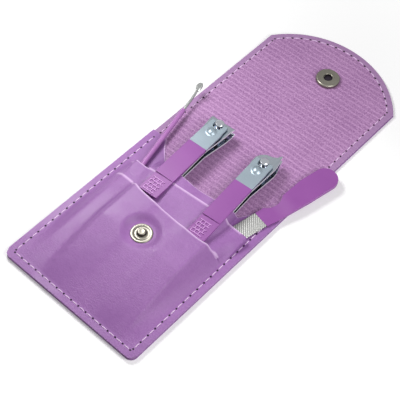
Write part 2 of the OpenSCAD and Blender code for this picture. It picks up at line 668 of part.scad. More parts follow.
// Steel neck that curves up and ends in a small hollow spoon
module pick_shaft() color(nickel) pick_frame() {
  neck_out = 6;
  bend_y = pick_show + neck_out;
  bend_r = 14;
  lift = 11;
  neck = 4.5;
  translate([0, pick_show - pick_steel_in, 0]) rotate([-90, 0, 0])
    cylinder(d = pick_neck_d, h = pick_steel_in + neck_out);
  translate([0, bend_y, bend_r]) rotate([0, 90, 0]) rotate_extrude(angle = lift)
    translate([bend_r, 0]) circle(d = pick_neck_d);
  translate([0, bend_y + bend_r*sin(lift), bend_r*(1 - cos(lift))]) rotate([lift, 0, 0]) {
    translate([0, -0.5, 0]) rotate([-90, 0, 0]) cylinder(d = pick_neck_d - 0.1, h = neck + 0.5);
    translate([0, neck + 1.9, 0.1]) spoon();
  }
}

placed() back_skin();
placed() back_lining();
placed() front_panel();
placed() pocket_stitching();
placed() snap_stud();
placed() snap_stud_back();
placed() spine_skin();
placed() spine_lining();
placed() spine_stitching();
placed() flap_skin();
placed() flap_lining();
placed() flap_stitching();
placed() snap_socket();
placed() snap_spring();
placed() snap_cap();

module straight() placed() color(chrome) clipper_frame(straight_post_at, straight_tilt) children();
module pointed() placed() color(chrome) clipper_frame(pointed_post_at, pointed_tilt) children();
straight() lower_jaw(straight_reach) straight_plan();  // straight_lower_jaw
straight() tail_rivet();  // straight_tail_rivet
straight() upper_jaw(straight_reach) straight_plan();  // straight_upper_jaw
straight() pivot_post();  // straight_post
straight() cross_pin();  // straight_cross_pin
straight() lever(straight_lever_w);  // straight_lever
straight() color(plastic) grip(straight_lever_w);  // straight_grip
pointed() lower_jaw(pointed_reach) pointed_plan();  // pointed_lower_jaw
pointed() tail_rivet();  // pointed_tail_rivet
pointed() upper_jaw(pointed_reach) pointed_plan();  // pointed_upper_jaw
pointed() pivot_post();  // pointed_post
pointed() cross_pin();  // pointed_cross_pin
pointed() lever(pointed_lever_w);  // pointed_lever
pointed() color(plastic) grip(pointed_lever_w);  // pointed_grip
placed() file_blade();
placed() file_handle();
placed() pick_shaft();
placed() pick_handle();
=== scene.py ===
"""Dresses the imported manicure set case: leather, ribbed lining, stitches, snap, clippers, file and pick.

A piece is modelled in millimetres in the pocket frame: X runs across the case, Y runs from its bottom edge
towards the flap, and Z runs up from the floor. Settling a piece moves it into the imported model's frame, in
metres.
"""

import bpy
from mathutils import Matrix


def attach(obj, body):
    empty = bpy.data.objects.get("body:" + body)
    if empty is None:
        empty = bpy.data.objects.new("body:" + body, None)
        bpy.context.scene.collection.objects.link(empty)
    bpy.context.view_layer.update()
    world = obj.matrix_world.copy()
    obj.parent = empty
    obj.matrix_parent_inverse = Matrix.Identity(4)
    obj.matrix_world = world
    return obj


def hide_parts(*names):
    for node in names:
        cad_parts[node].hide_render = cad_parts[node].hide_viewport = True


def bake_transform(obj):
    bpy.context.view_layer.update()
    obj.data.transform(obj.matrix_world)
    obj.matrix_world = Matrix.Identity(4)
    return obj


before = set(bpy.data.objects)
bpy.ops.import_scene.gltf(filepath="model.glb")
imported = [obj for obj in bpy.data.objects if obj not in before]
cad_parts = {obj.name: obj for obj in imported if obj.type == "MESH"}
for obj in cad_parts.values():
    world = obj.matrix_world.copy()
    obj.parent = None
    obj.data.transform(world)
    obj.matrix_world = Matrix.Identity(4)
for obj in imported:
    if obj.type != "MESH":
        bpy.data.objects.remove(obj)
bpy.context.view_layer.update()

import logging
import math
from dataclasses import dataclass
from enum import Enum
from typing import Callable, Iterable, Sequence

import bmesh
import bpy
from mathutils import Matrix, Vector

Point = tuple[float, float]
Triple = tuple[float, float, float]
Colour = tuple[float, float, float, float]
Stitch = tuple[float, float, float, float]
Piece = bpy.types.Object
Socket = bpy.types.NodeSocket
Verts = list[bmesh.types.BMVert]
Finishes = dict[str, bpy.types.Material]

log = logging.getLogger("manicure_set")

METRES = 0.001
FOLD_Y = 108.9
SPINE_LEN = 11.9
FLAP_Y = FOLD_Y + SPINE_LEN
FLAP_LEN = 87.6
END_Y = FLAP_Y + FLAP_LEN
MID_SPINE = FOLD_Y + SPINE_LEN / 2
HALF_W = 40.0
CORNER_R = 3.5
FLAP_ARC = 20.8
ARC_R = (HALF_W**2 + FLAP_ARC**2) / (2 * FLAP_ARC)
ARC_Y = END_Y - ARC_R
SIDE_TOP_Y = 98.0
SKIN_T = 0.9
LINING_T = 0.7
PANEL_T = 0.8
LEATHER_Z = SKIN_T + LINING_T
SEAM_Z = LEATHER_Z + PANEL_T
SNAP_X = 1.4
STUD_Y = 46.5
STUD_Z = 9.125
SOCKET_Y = 183.22
PICK_X = -27.7
FILE_X = 30.8
FILE_W = 8.8
POCKET_TO_ROW = Matrix.Scale(METRES, 4) @ Matrix.Translation((0, -FOLD_Y / 2, 0))


def tint(*levels: int) -> Colour:
    """Turns red, green and blue as a screen shows them, up to 255, into the linear colour of a shader."""
    shares = (level / 255 for level in levels)
    return (*(s / 12.92 if s <= 0.04045 else ((s + 0.055) / 1.055) ** 2.4 for s in shares), 1.0)


def mix(a: float, b: float, share: float) -> float:
    """Goes from a to b by a share."""
    return a + (b - a) * share


def smooth(share: float) -> float:
    """Eases a share in and out, and keeps it from 0 to 1."""
    held = min(1.0, max(0.0, share))
    return held * held * (3 - 2 * held)


def turned(degrees: float, axis: str) -> Matrix:
    """Gives a turn round an axis."""
    return Matrix.Rotation(math.radians(degrees), 4, axis)


def mirrored(half: Sequence[Point]) -> list[Point]:
    """Completes an outline that looks the same on both sides of X = 0, from its right half in order."""
    left = [(-x, y) for x, y in half]
    return [left[0], *half, *reversed(left[1:])]


def bend(piece: Piece) -> None:
    """Bakes the piece's transform into its mesh."""
    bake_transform(piece)


class Profile:
    """A smooth curve through knots that never overshoots them."""

    def __init__(self, knots: Sequence[Point]) -> None:
        """Works out the curve's slopes.

        Args:
            knots: Places and heights, in order of place.
        """
        self.xs, self.ys = zip(*knots)
        rises = [(high[1] - low[1]) / (high[0] - low[0]) for low, high in zip(knots[:-1], knots[1:])]
        inner = [0.0 if a * b <= 0 else 2 * a * b / (a + b) for a, b in zip(rises[:-1], rises[1:])]
        self.slopes = [0.0, *inner, 0.0]

    def __call__(self, x: float) -> float:
        """Reads the curve.

        Args:
            x: A place, held within the knots.

        Returns:
            The height there.
        """
        x = min(self.xs[-1], max(self.xs[0], x))
        i = max(k for k, knot in enumerate(self.xs[:-1]) if knot <= x)
        span = self.xs[i + 1] - self.xs[i]
        t = (x - self.xs[i]) / span
        swing = t * (1 - t) ** 2 * self.slopes[i] - t**2 * (1 - t) * self.slopes[i + 1]
        return mix(self.ys[i], self.ys[i + 1], smooth(t)) + span * swing


class Tree:
    """A node tree while it is built."""

    def __init__(self, tree: bpy.types.NodeTree) -> None:
        """Keeps the tree."""
        self.tree = tree

    def node(
        self, kind: str, settings: dict[str, object] | None = None, inputs: dict | None = None
    ) -> bpy.types.Node:
        """Adds a node.

        Args:
            kind: The node's type.
            settings: Its own settings, which are set first.
            inputs: Values or links for its sockets, by name or index.

        Returns:
            The new node.
        """
        made = self.tree.nodes.new(kind)
        for key, value in (settings or {}).items():
            setattr(made, key, value)
        for key, value in (inputs or {}).items():
            self.feed(made.inputs[key], value)
        return made

    def feed(self, socket: Socket, value: object) -> None:
        """Links a level or a socket to a socket, or sets its value.

        Args:
            socket: The socket that takes it.
            value: A level, an output socket or a plain value.
        """
        value = value.socket if isinstance(value, Level) else value
        if isinstance(value, Socket):
            self.tree.links.new(value, socket)
        else:
            socket.default_value = value

    def ray(self, kind: str) -> "Level":
        """Gives 1 to rays of one kind, such as those of the camera, and 0 to others."""
        return Level(self, self.node("ShaderNodeLightPath").outputs[f"Is {kind} Ray"])


class Paint(Tree):
    """A material's node tree while it is built."""

    def __init__(self, name: str) -> None:
        """Starts a material with its Principled shader.

        Args:
            name: The material's name.
        """
        self.material = bpy.data.materials.new(name)
        self.material.use_nodes = True
        super().__init__(self.material.node_tree)
        self.shader = self.tree.nodes["Principled BSDF"]
        self.place = self.node("ShaderNodeTexCoord").outputs["Object"]

    def set(self, **inputs: object) -> None:
        """Feeds the shader's sockets, named with underscores for spaces."""
        for key, value in inputs.items():
            self.feed(self.shader.inputs[key.replace("_", " ")], value)

    def mapped(self, turn: float, stretch: Triple = (1, 1, 1)) -> Socket:
        """Turns the piece's own coordinates round Z by degrees, and stretches them along each axis."""
        inputs = {"Vector": self.place, "Rotation": (0, 0, math.radians(turn)), "Scale": stretch}
        return self.node("ShaderNodeMapping", {}, inputs).outputs[0]

    def noise(self, size: float, detail: float, rough: float = 0.5, vector: object = None) -> "Level":
        """Adds soft noise.

        Args:
            size: Millimetres from one cloud to the next.
            detail: How many finer layers it has.
            rough: How strong they are.
            vector: Coordinates, or the piece's own.

        Returns:
            A level from 0 to 1.
        """
        inputs = {"Vector": vector or self.place, "Scale": 1 / (size * METRES)}
        inputs |= {"Detail": detail, "Roughness": rough}
        return Level(self, self.node("ShaderNodeTexNoise", {}, inputs).outputs[0])

    def cells(self, size: float) -> "Level":
        """Adds rounded cells of a size in millimetres, as the distance from the middle of each."""
        inputs = {"Vector": self.place, "Scale": 1 / (size * METRES), "Smoothness": 0.35}
        return Level(self, self.node("ShaderNodeTexVoronoi", {"feature": "SMOOTH_F1"}, inputs).outputs[0])

    def axis(self, name: str, vector: object = None) -> "Level":
        """Reads X, Y or Z in millimetres, of some coordinates or of the piece's own."""
        node = self.node("ShaderNodeSeparateXYZ", {}, {0: vector or self.place})
        return Level(self, node.outputs[name]) * (1 / METRES)

    def waves(self, across: "Level", pitch: float) -> "Level":
        """Gives even waves from 0 to 1 that follow each other at a pitch."""
        return (across * (math.tau / pitch)).cosine() * 0.5 + 0.5

    def slope(self) -> "Level":
        """Gives 0 on a surface that lies level in the piece's own frame, and 1 on an upright one."""
        node = self.node("ShaderNodeSeparateXYZ", {}, {0: self.node("ShaderNodeTexCoord").outputs["Normal"]})
        return 1 - Level(self, node.outputs["Z"]).size()

    def mark(self, name: str) -> "Level":
        """Reads a number that the mesh carries at its points, and holds it from 0 to 1."""
        return Level(self, self.node("ShaderNodeAttribute", {"attribute_name": name}).outputs["Fac"]).held()

    def blend(self, share: object, low: object, high: object) -> Socket:
        """Mixes two colours, from the low one at 0 to the high one at 1."""
        return self.node("ShaderNodeMix", {"data_type": "RGBA"}, {0: share, 6: low, 7: high}).outputs[2]

    def bump(self, height: object, depth: float) -> Socket:
        """Raises the surface by a level that stands so many millimetres high at 1."""
        return self.node("ShaderNodeBump", {}, {"Height": height, "Distance": depth * METRES}).outputs[0]


class Level:
    """A number that varies over a surface; arithmetic on it adds Math nodes."""

    def __init__(self, tree: Tree, socket: Socket) -> None:
        """Keeps the tree under way and the socket that carries the number."""
        self.tree = tree
        self.socket = socket

    def _math(self, kind: str, *values: object, **settings: bool) -> "Level":
        """Adds one Math node that works on values in order."""
        node = self.tree.node("ShaderNodeMath", {"operation": kind, **settings}, dict(enumerate(values)))
        return Level(self.tree, node.outputs[0])

    def __add__(self, other: object) -> "Level":
        """Adds."""
        return self._math("ADD", self, other)

    __radd__ = __add__

    def __sub__(self, other: object) -> "Level":
        """Subtracts."""
        return self._math("SUBTRACT", self, other)

    def __rsub__(self, other: object) -> "Level":
        """Subtracts from a number."""
        return self._math("SUBTRACT", other, self)

    def __mul__(self, other: object) -> "Level":
        """Multiplies."""
        return self._math("MULTIPLY", self, other)

    __rmul__ = __mul__

    def __pow__(self, power: float) -> "Level":
        """Raises to a power."""
        return self._math("POWER", self, power)

    def cosine(self) -> "Level":
        """Gives the cosine of an angle in radians."""
        return self._math("COSINE", self)

    def size(self) -> "Level":
        """Drops the sign."""
        return self._math("ABSOLUTE", self)

    def at_least(self, low: object) -> "Level":
        """Keeps the number from falling below another."""
        return self._math("MAXIMUM", self, low)

    def held(self) -> "Level":
        """Holds the number from 0 to 1."""
        return self._math("ADD", self, 0.0, use_clamp=True)

    def above(self, limit: float, width: float) -> "Level":
        """Rises from 0 to 1 over a width round a limit."""
        return ((self - limit) * (1 / width) + 0.5).held()


class Finish:
    """The look of one kind of piece."""

    def coat(self, paint: Paint) -> None:
        """Lays the finish on a new material."""
        raise NotImplementedError


@dataclass(frozen=True)
class Leather(Finish):
    """Satin artificial leather with a fine grain and faint wrinkles."""

    colour: Colour
    pale: Colour
    # Pale colour of the painted highlight along the lips of the slits and the mouth.
    edge: Colour = tint(222, 186, 230)
    grain: float = 0.75
    roughness: float = 0.38

    def coat(self, paint: Paint) -> None:
        """Lays clouds, grain and wrinkles, and a pale painted highlight along the lips where the leather is
        cut.

        Args:
            paint: The material.
        """
        cloud = paint.noise(26, 3)
        mottle = paint.noise(2.2, 4, 0.65)
        wrinkle = paint.noise(2.0, 5, 0.6, paint.mapped(24, (1, 2.3, 1)))
        crease = (1 - ((wrinkle - 0.5) * 9).size()).held() * cloud.above(0.44, 0.12)
        share = (cloud * 0.8 + mottle * 0.5 + crease * 0.16 - 0.12).held()
        face = paint.blend(share, self.colour, self.pale)
        # The marked lips get a pale painted highlight.
        paint.set(
            Base_Color=paint.blend(paint.mark("painted_lip_highlight"), face, self.edge),
            Roughness=self.roughness + mottle * 0.14 - cloud * 0.06,
            Normal=paint.bump(paint.cells(self.grain) * 0.5 + mottle * 0.6 - crease * 0.8, 0.06),
            Specular_IOR_Level=0.42,
            Sheen_Weight=0.12,
            Sheen_Roughness=0.45,
        )


@dataclass(frozen=True)
class RibbedLining(Finish):
    """Woven lining with fine raised ribs across the case, pressed flat outside the stitches."""

    ground: Colour
    rib: Colour
    hem: Colour
    rib_pitch: float = 2.8
    yarn_pitch: float = 0.9
    pick_pitch: float = 0.7
    turn: float = -1.5
    hem_width: float = 3.0
    hem_fade: float = 0.7

    def flat_hem(self, paint: Paint) -> Level:
        """Gives 1 near the sides of the case and near the flap's arc, and 0 elsewhere.

        Args:
            paint: The material.

        Returns:
            The level.
        """
        across = paint.axis("X")
        up = (paint.axis("Y") - (ARC_Y - FOLD_Y / 2)).at_least(0.0)
        side = across.size().above(HALF_W - self.hem_width, self.hem_fade)
        arc = ((across**2 + up**2) ** 0.5).above(ARC_R - self.hem_width, self.hem_fade)
        return (side + arc).held()

    def coat(self, paint: Paint) -> None:
        """Lays the ribs, the weave between them and the hem.

        Args:
            paint: The material.
        """
        along = paint.mapped(self.turn)
        y = paint.axis("Y", along) + paint.noise(5, 3, 0.6) * 1.5
        ridge = paint.waves(y, self.rib_pitch) ** 4
        slub = paint.noise(1.0, 3, 0.7, paint.mapped(self.turn, (0.5, 1.8, 1)))
        speck = paint.noise(0.75, 3, 0.75)
        yarn = (paint.axis("X", along) * (math.tau / self.yarn_pitch) + slub * 7).cosine()
        pick = (y * (math.tau / self.pick_pitch) + slub * 3).cosine()
        weave = (yarn + pick) * 0.25 + 0.5
        hem = self.flat_hem(paint)
        height = (ridge * (0.4 + slub * 0.5) + weave * 0.35 + speck * 0.5) * (1 - hem)
        share = (ridge * slub * 0.45 + weave * 0.10 + speck * 1.7 + paint.noise(30, 2) * 0.3 - 0.74).held()
        paint.set(
            Base_Color=paint.blend(hem * 0.75, paint.blend(share, self.ground, self.rib), self.hem),
            Roughness=0.62 - ridge * 0.1 - hem * 0.12,
            Normal=paint.bump(height, 0.13),
            Specular_IOR_Level=0.35,
            Sheen_Weight=0.25,
            Sheen_Roughness=0.4,
        )


@dataclass(frozen=True)
class Thread(Finish):
    """Twisted sewing thread."""

    colour: Colour
    shade: Colour
    pitch: float = 0.55

    def coat(self, paint: Paint) -> None:
        """Lays the slanted twist and its fuzz.

        Args:
            paint: The material.
        """
        twist = paint.waves(paint.axis("X") + paint.axis("Y"), self.pitch)
        fuzz = paint.noise(0.3, 3)
        paint.set(
            Base_Color=paint.blend((twist * 0.7 + fuzz * 0.4).held(), self.shade, self.colour),
            Roughness=0.55,
            Normal=paint.bump(twist + fuzz * 0.5, 0.05),
            Sheen_Weight=0.3,
        )


class Lay(Enum):
    """Direction in which a metal surface was brushed or ground."""

    ALONG = (1.0, 0.06, 1.0)
    ACROSS = (0.06, 1.0, 1.0)
    ALL_WAYS = (1.0, 1.0, 1.0)


@dataclass(frozen=True)
class Metal(Finish):
    """Plated or ground metal with fine marks, with a painted highlight on its upright sides where the finish
    has one.
    """

    colour: Colour
    dull: Colour
    roughness: float
    lay: Lay = Lay.ALONG
    mark: float = 0.6
    depth: float = 0.002
    metallic: float = 1.0
    # Pale colour painted on upright sides as a highlight, for the light line along the jaws' edges.
    painted_side_highlight: Colour | None = None

    def coat(self, paint: Paint) -> None:
        """Lays the marks and a haze, and paints a pale highlight on the upright sides where the finish has
        such a colour.

        Args:
            paint: The material.
        """
        marks = paint.noise(self.mark, 4, 0.6, paint.mapped(0, self.lay.value))
        haze = paint.noise(9, 3)
        plate = paint.blend((marks + haze) * 0.5, self.dull, self.colour)
        rough = marks * 0.10 + haze * 0.06 + (self.roughness - 0.05)
        metallic = self.metallic
        # Painted highlight: upright sides turn pale, less metallic and rougher.
        if self.painted_side_highlight:
            side = paint.slope().above(0.72, 0.2)
            plate = paint.blend(side, plate, self.painted_side_highlight)
            rough = rough + side * 0.25
            metallic = 1 - side * 0.8
        normal = paint.bump(marks, self.depth)
        paint.set(Base_Color=plate, Metallic=metallic, Roughness=rough, Normal=normal)


@dataclass(frozen=True)
class CutFile(Finish):
    """File steel with two crossing sets of fine teeth."""

    colour: Colour
    groove: Colour
    pitch: float = 0.95
    first: float = -42.0
    second: float = 48.0

    def coat(self, paint: Paint) -> None:
        """Lays both sets of teeth, with grit between them.

        Args:
            paint: The material.
        """
        across = (paint.axis("X", paint.mapped(turn)) for turn in (self.first, self.second))
        rows = [paint.waves(x, self.pitch) for x in across]
        grit = paint.noise(0.25, 3, 0.7)
        teeth = rows[0] * 0.75 + rows[0] * rows[1] * 0.25
        paint.set(
            Base_Color=paint.blend((teeth * 0.85 + grit * 0.15).held(), self.groove, self.colour),
            Metallic=0.9,
            Roughness=0.5 - teeth * 0.15,
            Normal=paint.bump(teeth + grit * 0.2, 0.05),
        )


@dataclass(frozen=True)
class Plastic(Finish):
    """Satin moulded plastic with a faint surface texture."""

    colour: Colour
    pale: Colour
    # Pale colour of the painted highlight on the tops of the grip's bars.
    rib: Colour
    roughness: float = 0.34

    def coat(self, paint: Paint) -> None:
        """Lays faint clouds and specks, and a pale painted highlight on the tops of the ribs.

        Args:
            paint: The material.
        """
        speck = paint.noise(0.35, 3, 0.6)
        share = (paint.noise(14, 2) * 0.8 + speck * 0.15).held()
        face = paint.blend(share, self.colour, self.pale)
        paint.set(
            Base_Color=paint.blend(paint.mark("painted_rib_highlight"), face, self.rib),
            Roughness=self.roughness + speck * 0.10,
            Normal=paint.bump(speck, 0.012),
            Specular_IOR_Level=0.5,
        )


@dataclass(frozen=True)
class Shade(Finish):
    """Painted shade: a dark matt surface inside a hole, where shade falls."""

    colour: Colour
    pale: Colour

    def coat(self, paint: Paint) -> None:
        """Lays a matt, slightly uneven dark colour as painted shade."""
        paint.set(Base_Color=paint.blend(paint.noise(0.4, 2), self.colour, self.pale), Roughness=0.8)


FINISHES: dict[str, Finish] = {
    "outer_leather": Leather(tint(130, 84, 146), tint(156, 106, 170)),
    "panel_leather": Leather(tint(134, 86, 151), tint(166, 114, 181)),
    "lining": RibbedLining(tint(136, 90, 142), tint(226, 178, 226), tint(166, 130, 174)),
    "thread": Thread(tint(246, 220, 249), tint(214, 172, 222)),
    # Painted shade inside the needle holes and the socket's hole.
    "needle_hole": Shade(tint(22, 12, 26), tint(34, 20, 38)),
    "snap": Metal(tint(158, 155, 144), tint(108, 104, 96), 0.32, Lay.ALL_WAYS, 0.8, 0.01),
    # Painted shade: a dark metal for the stud's waist, where shade falls under the post's head.
    "painted_waist_shade": Metal(tint(62, 56, 50), tint(24, 20, 20), 0.45, Lay.ALL_WAYS),
    # The jaws carry a painted highlight on their upright sides.
    "jaw": Metal(tint(196, 204, 212), tint(150, 158, 168), 0.12, painted_side_highlight=tint(238, 240, 242)),
    "lever": Metal(tint(164, 178, 188), tint(150, 164, 174), 0.32, Lay.ACROSS, 1.4, 0.001, 0.72),
    "pin": Metal(tint(214, 218, 224), tint(170, 174, 182), 0.14, Lay.ALL_WAYS),
    "grip": Plastic(tint(136, 70, 148), tint(156, 88, 166), tint(204, 146, 212)),
    "pick": Plastic(tint(160, 98, 168), tint(184, 128, 190), tint(196, 140, 200), 0.28),
    "file": CutFile(tint(206, 208, 204), tint(128, 126, 126)),
    "pick_steel": Metal(tint(196, 198, 196), tint(150, 152, 152), 0.26),
}


def mix_finishes() -> Finishes:
    """Builds the material of each kind of piece.

    Returns:
        The materials by kind.
    """
    made = {}
    for kind, finish in FINISHES.items():
        paint = Paint(f"{kind}_finish")
        finish.coat(paint)
        made[kind] = paint.material
    log.info("finishes: %d materials", len(made))
    return made


class Shape:
    """A mesh under way, with the modelling steps that several pieces share."""

    def __init__(self) -> None:
        """Starts an empty mesh in millimetres."""
        self.bm = bmesh.new()

    def outline(self, corners: Iterable[Point], z: float) -> bmesh.types.BMFace:
        """Makes a flat face from its corners in order, at a height."""
        return self.bm.faces.new([self.bm.verts.new((x, y, z)) for x, y in corners])

    def run(self, points: Iterable[Triple]) -> Verts:
        """Runs edges through points.

        Args:
            points: The points in order.

        Returns:
            Their vertices.
        """
        verts = [self.bm.verts.new(point) for point in points]
        for pair in zip(verts[:-1], verts[1:]):
            self.bm.edges.new(pair)
        return verts

    def arc(self, start: Triple, middle: Triple, degrees: float, steps: int) -> Verts:
        """Runs edges from a point round a middle.

        Args:
            start: Where the arc starts.
            middle: What it goes round.
            degrees: How far it goes, counter-clockwise.
            steps: How many edges it has.

        Returns:
            The arc's first and last vertex.
        """
        first = self.bm.verts.new(start)
        made = bmesh.ops.spin(
            self.bm, geom=[first], cent=middle, axis=(0, 0, 1), dvec=(0, 0, 0),
            angle=math.radians(degrees), steps=steps, use_merge=False, use_duplicate=False,
        )
        return [first, next(g for g in made["geom_last"] if isinstance(g, bmesh.types.BMVert))]

    def close(self, *runs: Verts) -> None:
        """Joins runs of vertices end to end into one outline and fills it.

        Args:
            *runs: Vertices in order; those of one run or arc are joined already.
        """
        for run, following in zip(runs, [*runs[1:], runs[0]]):
            self.bm.edges.new((run[-1], following[0]))
        bmesh.ops.contextual_create(self.bm, geom=self.bm.edges[:])

    def bore(self, middle: Triple, radius: float) -> None:
        """Makes a round hole in a mesh that is still one flat face.

        Args:
            middle: The middle of the hole.
            radius: Its radius.
        """
        bmesh.ops.delete(self.bm, geom=self.bm.faces[:], context="FACES_ONLY")
        place = Matrix.Translation(middle)
        bmesh.ops.create_circle(self.bm, cap_ends=False, radius=radius, segments=48, matrix=place)
        bmesh.ops.triangle_fill(
            self.bm, use_beauty=True, use_dissolve=False, edges=self.bm.edges[:], normal=(0, 0, 1)
        )

    def slice(self, axis: int, places: Iterable[float]) -> None:
        """Cuts the mesh at planes across one axis.

        Args:
            axis: 0, 1 or 2 for X, Y or Z.
            places: Where each plane stands.
        """
        normal = Vector((axis == 0, axis == 1, axis == 2))
        for place in places:
            geom = [*self.bm.verts, *self.bm.edges, *self.bm.faces]
            bmesh.ops.bisect_plane(self.bm, geom=geom, dist=1e-5, plane_co=normal * place, plane_no=normal)

    def bevel(self, geom: list, width: float, segments: int, affect: str = "EDGES") -> None:
        """Rounds edges, or corners of a flat face, to a width with so many faces across it."""
        bmesh.ops.bevel(
            self.bm, geom=geom, offset=width, affect=affect, segments=segments, profile=0.5, material=-1,
            clamp_overlap=True,
        )

    def thicken(self, depth: float) -> None:
        """Gives a sheet its thickness, always in the same order, so that each run rounds it alike.

        Args:
            depth: How far the other side lies below.
        """
        top = self.bm.faces[:]
        rim = [edge.verts[:] for edge in self.bm.edges if edge.is_boundary]
        low = {v: self.bm.verts.new(v.co - Vector((0, 0, depth))) for v in self.bm.verts[:]}
        for face in top:
            self.bm.faces.new([low[v] for v in face.verts])
        for a, b in rim:
            self.bm.faces.new((a, b, low[b], low[a]))
        bmesh.ops.recalc_face_normals(self.bm, faces=self.bm.faces[:])

    def soften(
        self, width: float, angle: float = 40.0,
        keep: Callable[[bmesh.types.BMEdge], bool] = lambda edge: True,
    ) -> None:
        """Rounds the mesh's sharp edges.

        Args:
            width: Width of the rounding.
            angle: Degrees from which an edge counts as sharp.
            keep: A test that an edge has to pass too.
        """
        limit = math.radians(angle)
        self.bevel([e for e in self.bm.edges if e.calc_face_angle(0) > limit and keep(e)], width, 3)

    def lathe(self, profile: Sequence[Point], steps: int, foot: Triple = (0, 0, 0)) -> "Shape":
        """Turns a profile round an upright axis.

        Args:
            profile: Radius and height of each point.
            steps: How many faces go round.
            foot: Where the axis stands.

        Returns:
            This mesh.
        """
        x, y, z = foot
        verts = self.run((x + r, y, z + h) for r, h in profile)
        edges = [self.bm.edges.get(pair) for pair in zip(verts[:-1], verts[1:])]
        bmesh.ops.spin(
            self.bm, geom=[*verts, *edges], cent=foot, axis=(0, 0, 1), dvec=(0, 0, 0),
            angle=math.tau, steps=steps, use_merge=True, use_duplicate=False,
        )
        bmesh.ops.remove_doubles(self.bm, verts=self.bm.verts[:], dist=1e-4)
        bmesh.ops.recalc_face_normals(self.bm, faces=self.bm.faces[:])
        return self

    def block(self, size: Triple, middle: Triple, soft: float) -> None:
        """Adds a block with rounded edges.

        Args:
            size: Its lengths along X, Y and Z.
            middle: Its middle.
            soft: Width of its rounded edges.
        """
        place = Matrix.Translation(middle) @ Matrix.Diagonal((*size, 1))
        made = bmesh.ops.create_cube(self.bm, size=1, matrix=place)
        self.bevel(list({e for v in made["verts"] for e in v.link_edges}), soft, 2)

    def ball(self, size: Triple, place: Matrix, detail: int) -> Verts:
        """Adds a ball with radii along X, Y and Z, divided so many times, and gives its vertices."""
        place = place @ Matrix.Diagonal((*size, 1))
        return bmesh.ops.create_icosphere(self.bm, subdivisions=detail, radius=1, matrix=place)["verts"]

    def mark(self, name: str, test: Callable[[Vector], bool]) -> None:
        """Gives the mesh's points a number that a finish reads.

        Args:
            name: The number's name.
            test: Tells from a point's place whether its number is 1 instead of 0.
        """
        layer = self.bm.verts.layers.float.new(name)
        for vert in self.bm.verts:
            vert[layer] = float(test(vert.co))

    def to_object(
        self, name: str, finish: bpy.types.Material, place: Matrix = Matrix.Identity(4)
    ) -> Piece:
        """Turns the mesh into an object of the scene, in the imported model's frame.

        Args:
            name: The object's name.
            finish: Its material.
            place: Where the mesh stands in the pocket frame.

        Returns:
            The object.
        """
        bmesh.ops.transform(self.bm, matrix=POCKET_TO_ROW @ place, verts=self.bm.verts[:])
        mesh = bpy.data.meshes.new(name)
        self.bm.to_mesh(mesh)
        self.bm.free()
        mesh.materials.append(finish)
        made = bpy.data.objects.new(name, mesh)
        bpy.context.scene.collection.objects.link(made)
        return made

    def settle(
        self, name: str, finish: bpy.types.Material, body: str | None, slot: str,
        replaces: Sequence[str] = (), place: Matrix = Matrix.Identity(4), sharp: float = 38.0,
    ) -> Piece:
        """Turns the mesh into a piece of the set.

        Args:
            name: The piece's name.
            finish: Its material.
            body: The body that it rides on, or None where that is said later.
            slot: A material slot's name; not used.
            replaces: The nodes that it stands for.
            place: Where the mesh stands in the pocket frame.
            sharp: Degrees from which an edge is shaded sharp.

        Returns:
            The piece.
        """
        piece = self.to_object(name, finish, place)
        piece.data.shade_smooth()
        piece.data.set_sharp_from_angle(angle=math.radians(sharp))
        even = piece.modifiers.new("even_shading", "WEIGHTED_NORMAL")
        even.weight = 60
        even.keep_sharp = True
        if body:
            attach(piece, body)
        if replaces:
            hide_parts(*replaces)
        log.info("%s: %d faces", name, len(piece.data.polygons))
        return piece


@dataclass
class Assembly:
    """A sub-assembly of the set, with the materials that dress it."""

    finishes: Finishes

    def dress(self, name: str, kind: str, width: float, segments: int = 2) -> None:
        """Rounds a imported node's edges and gives it its finish.

        Args:
            name: The node's name.
            kind: Its finish.
            width: Width of the rounded edges in millimetres.
            segments: How many faces they have across them.
        """
        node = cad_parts[name]
        node.data.materials.clear()
        node.data.materials.append(self.finishes[kind])
        node.modifiers.new("weld", "WELD").merge_threshold = 2e-6
        bevel = node.modifiers.new("round", "BEVEL")
        bevel.width = width * METRES
        bevel.segments = segments
        bevel.limit_method = "ANGLE"
        bevel.angle_limit = math.radians(32)
        bevel.harden_normals = True
        log.info("%s: packed node kept", name)


@dataclass(frozen=True)
class Ply:
    """One layer of the cover: what its pieces, nodes and slot are called, how it lies, and its hole."""

    piece: str
    node: str
    slot: str
    top: float
    thickness: float
    inset: float
    hole_r: float


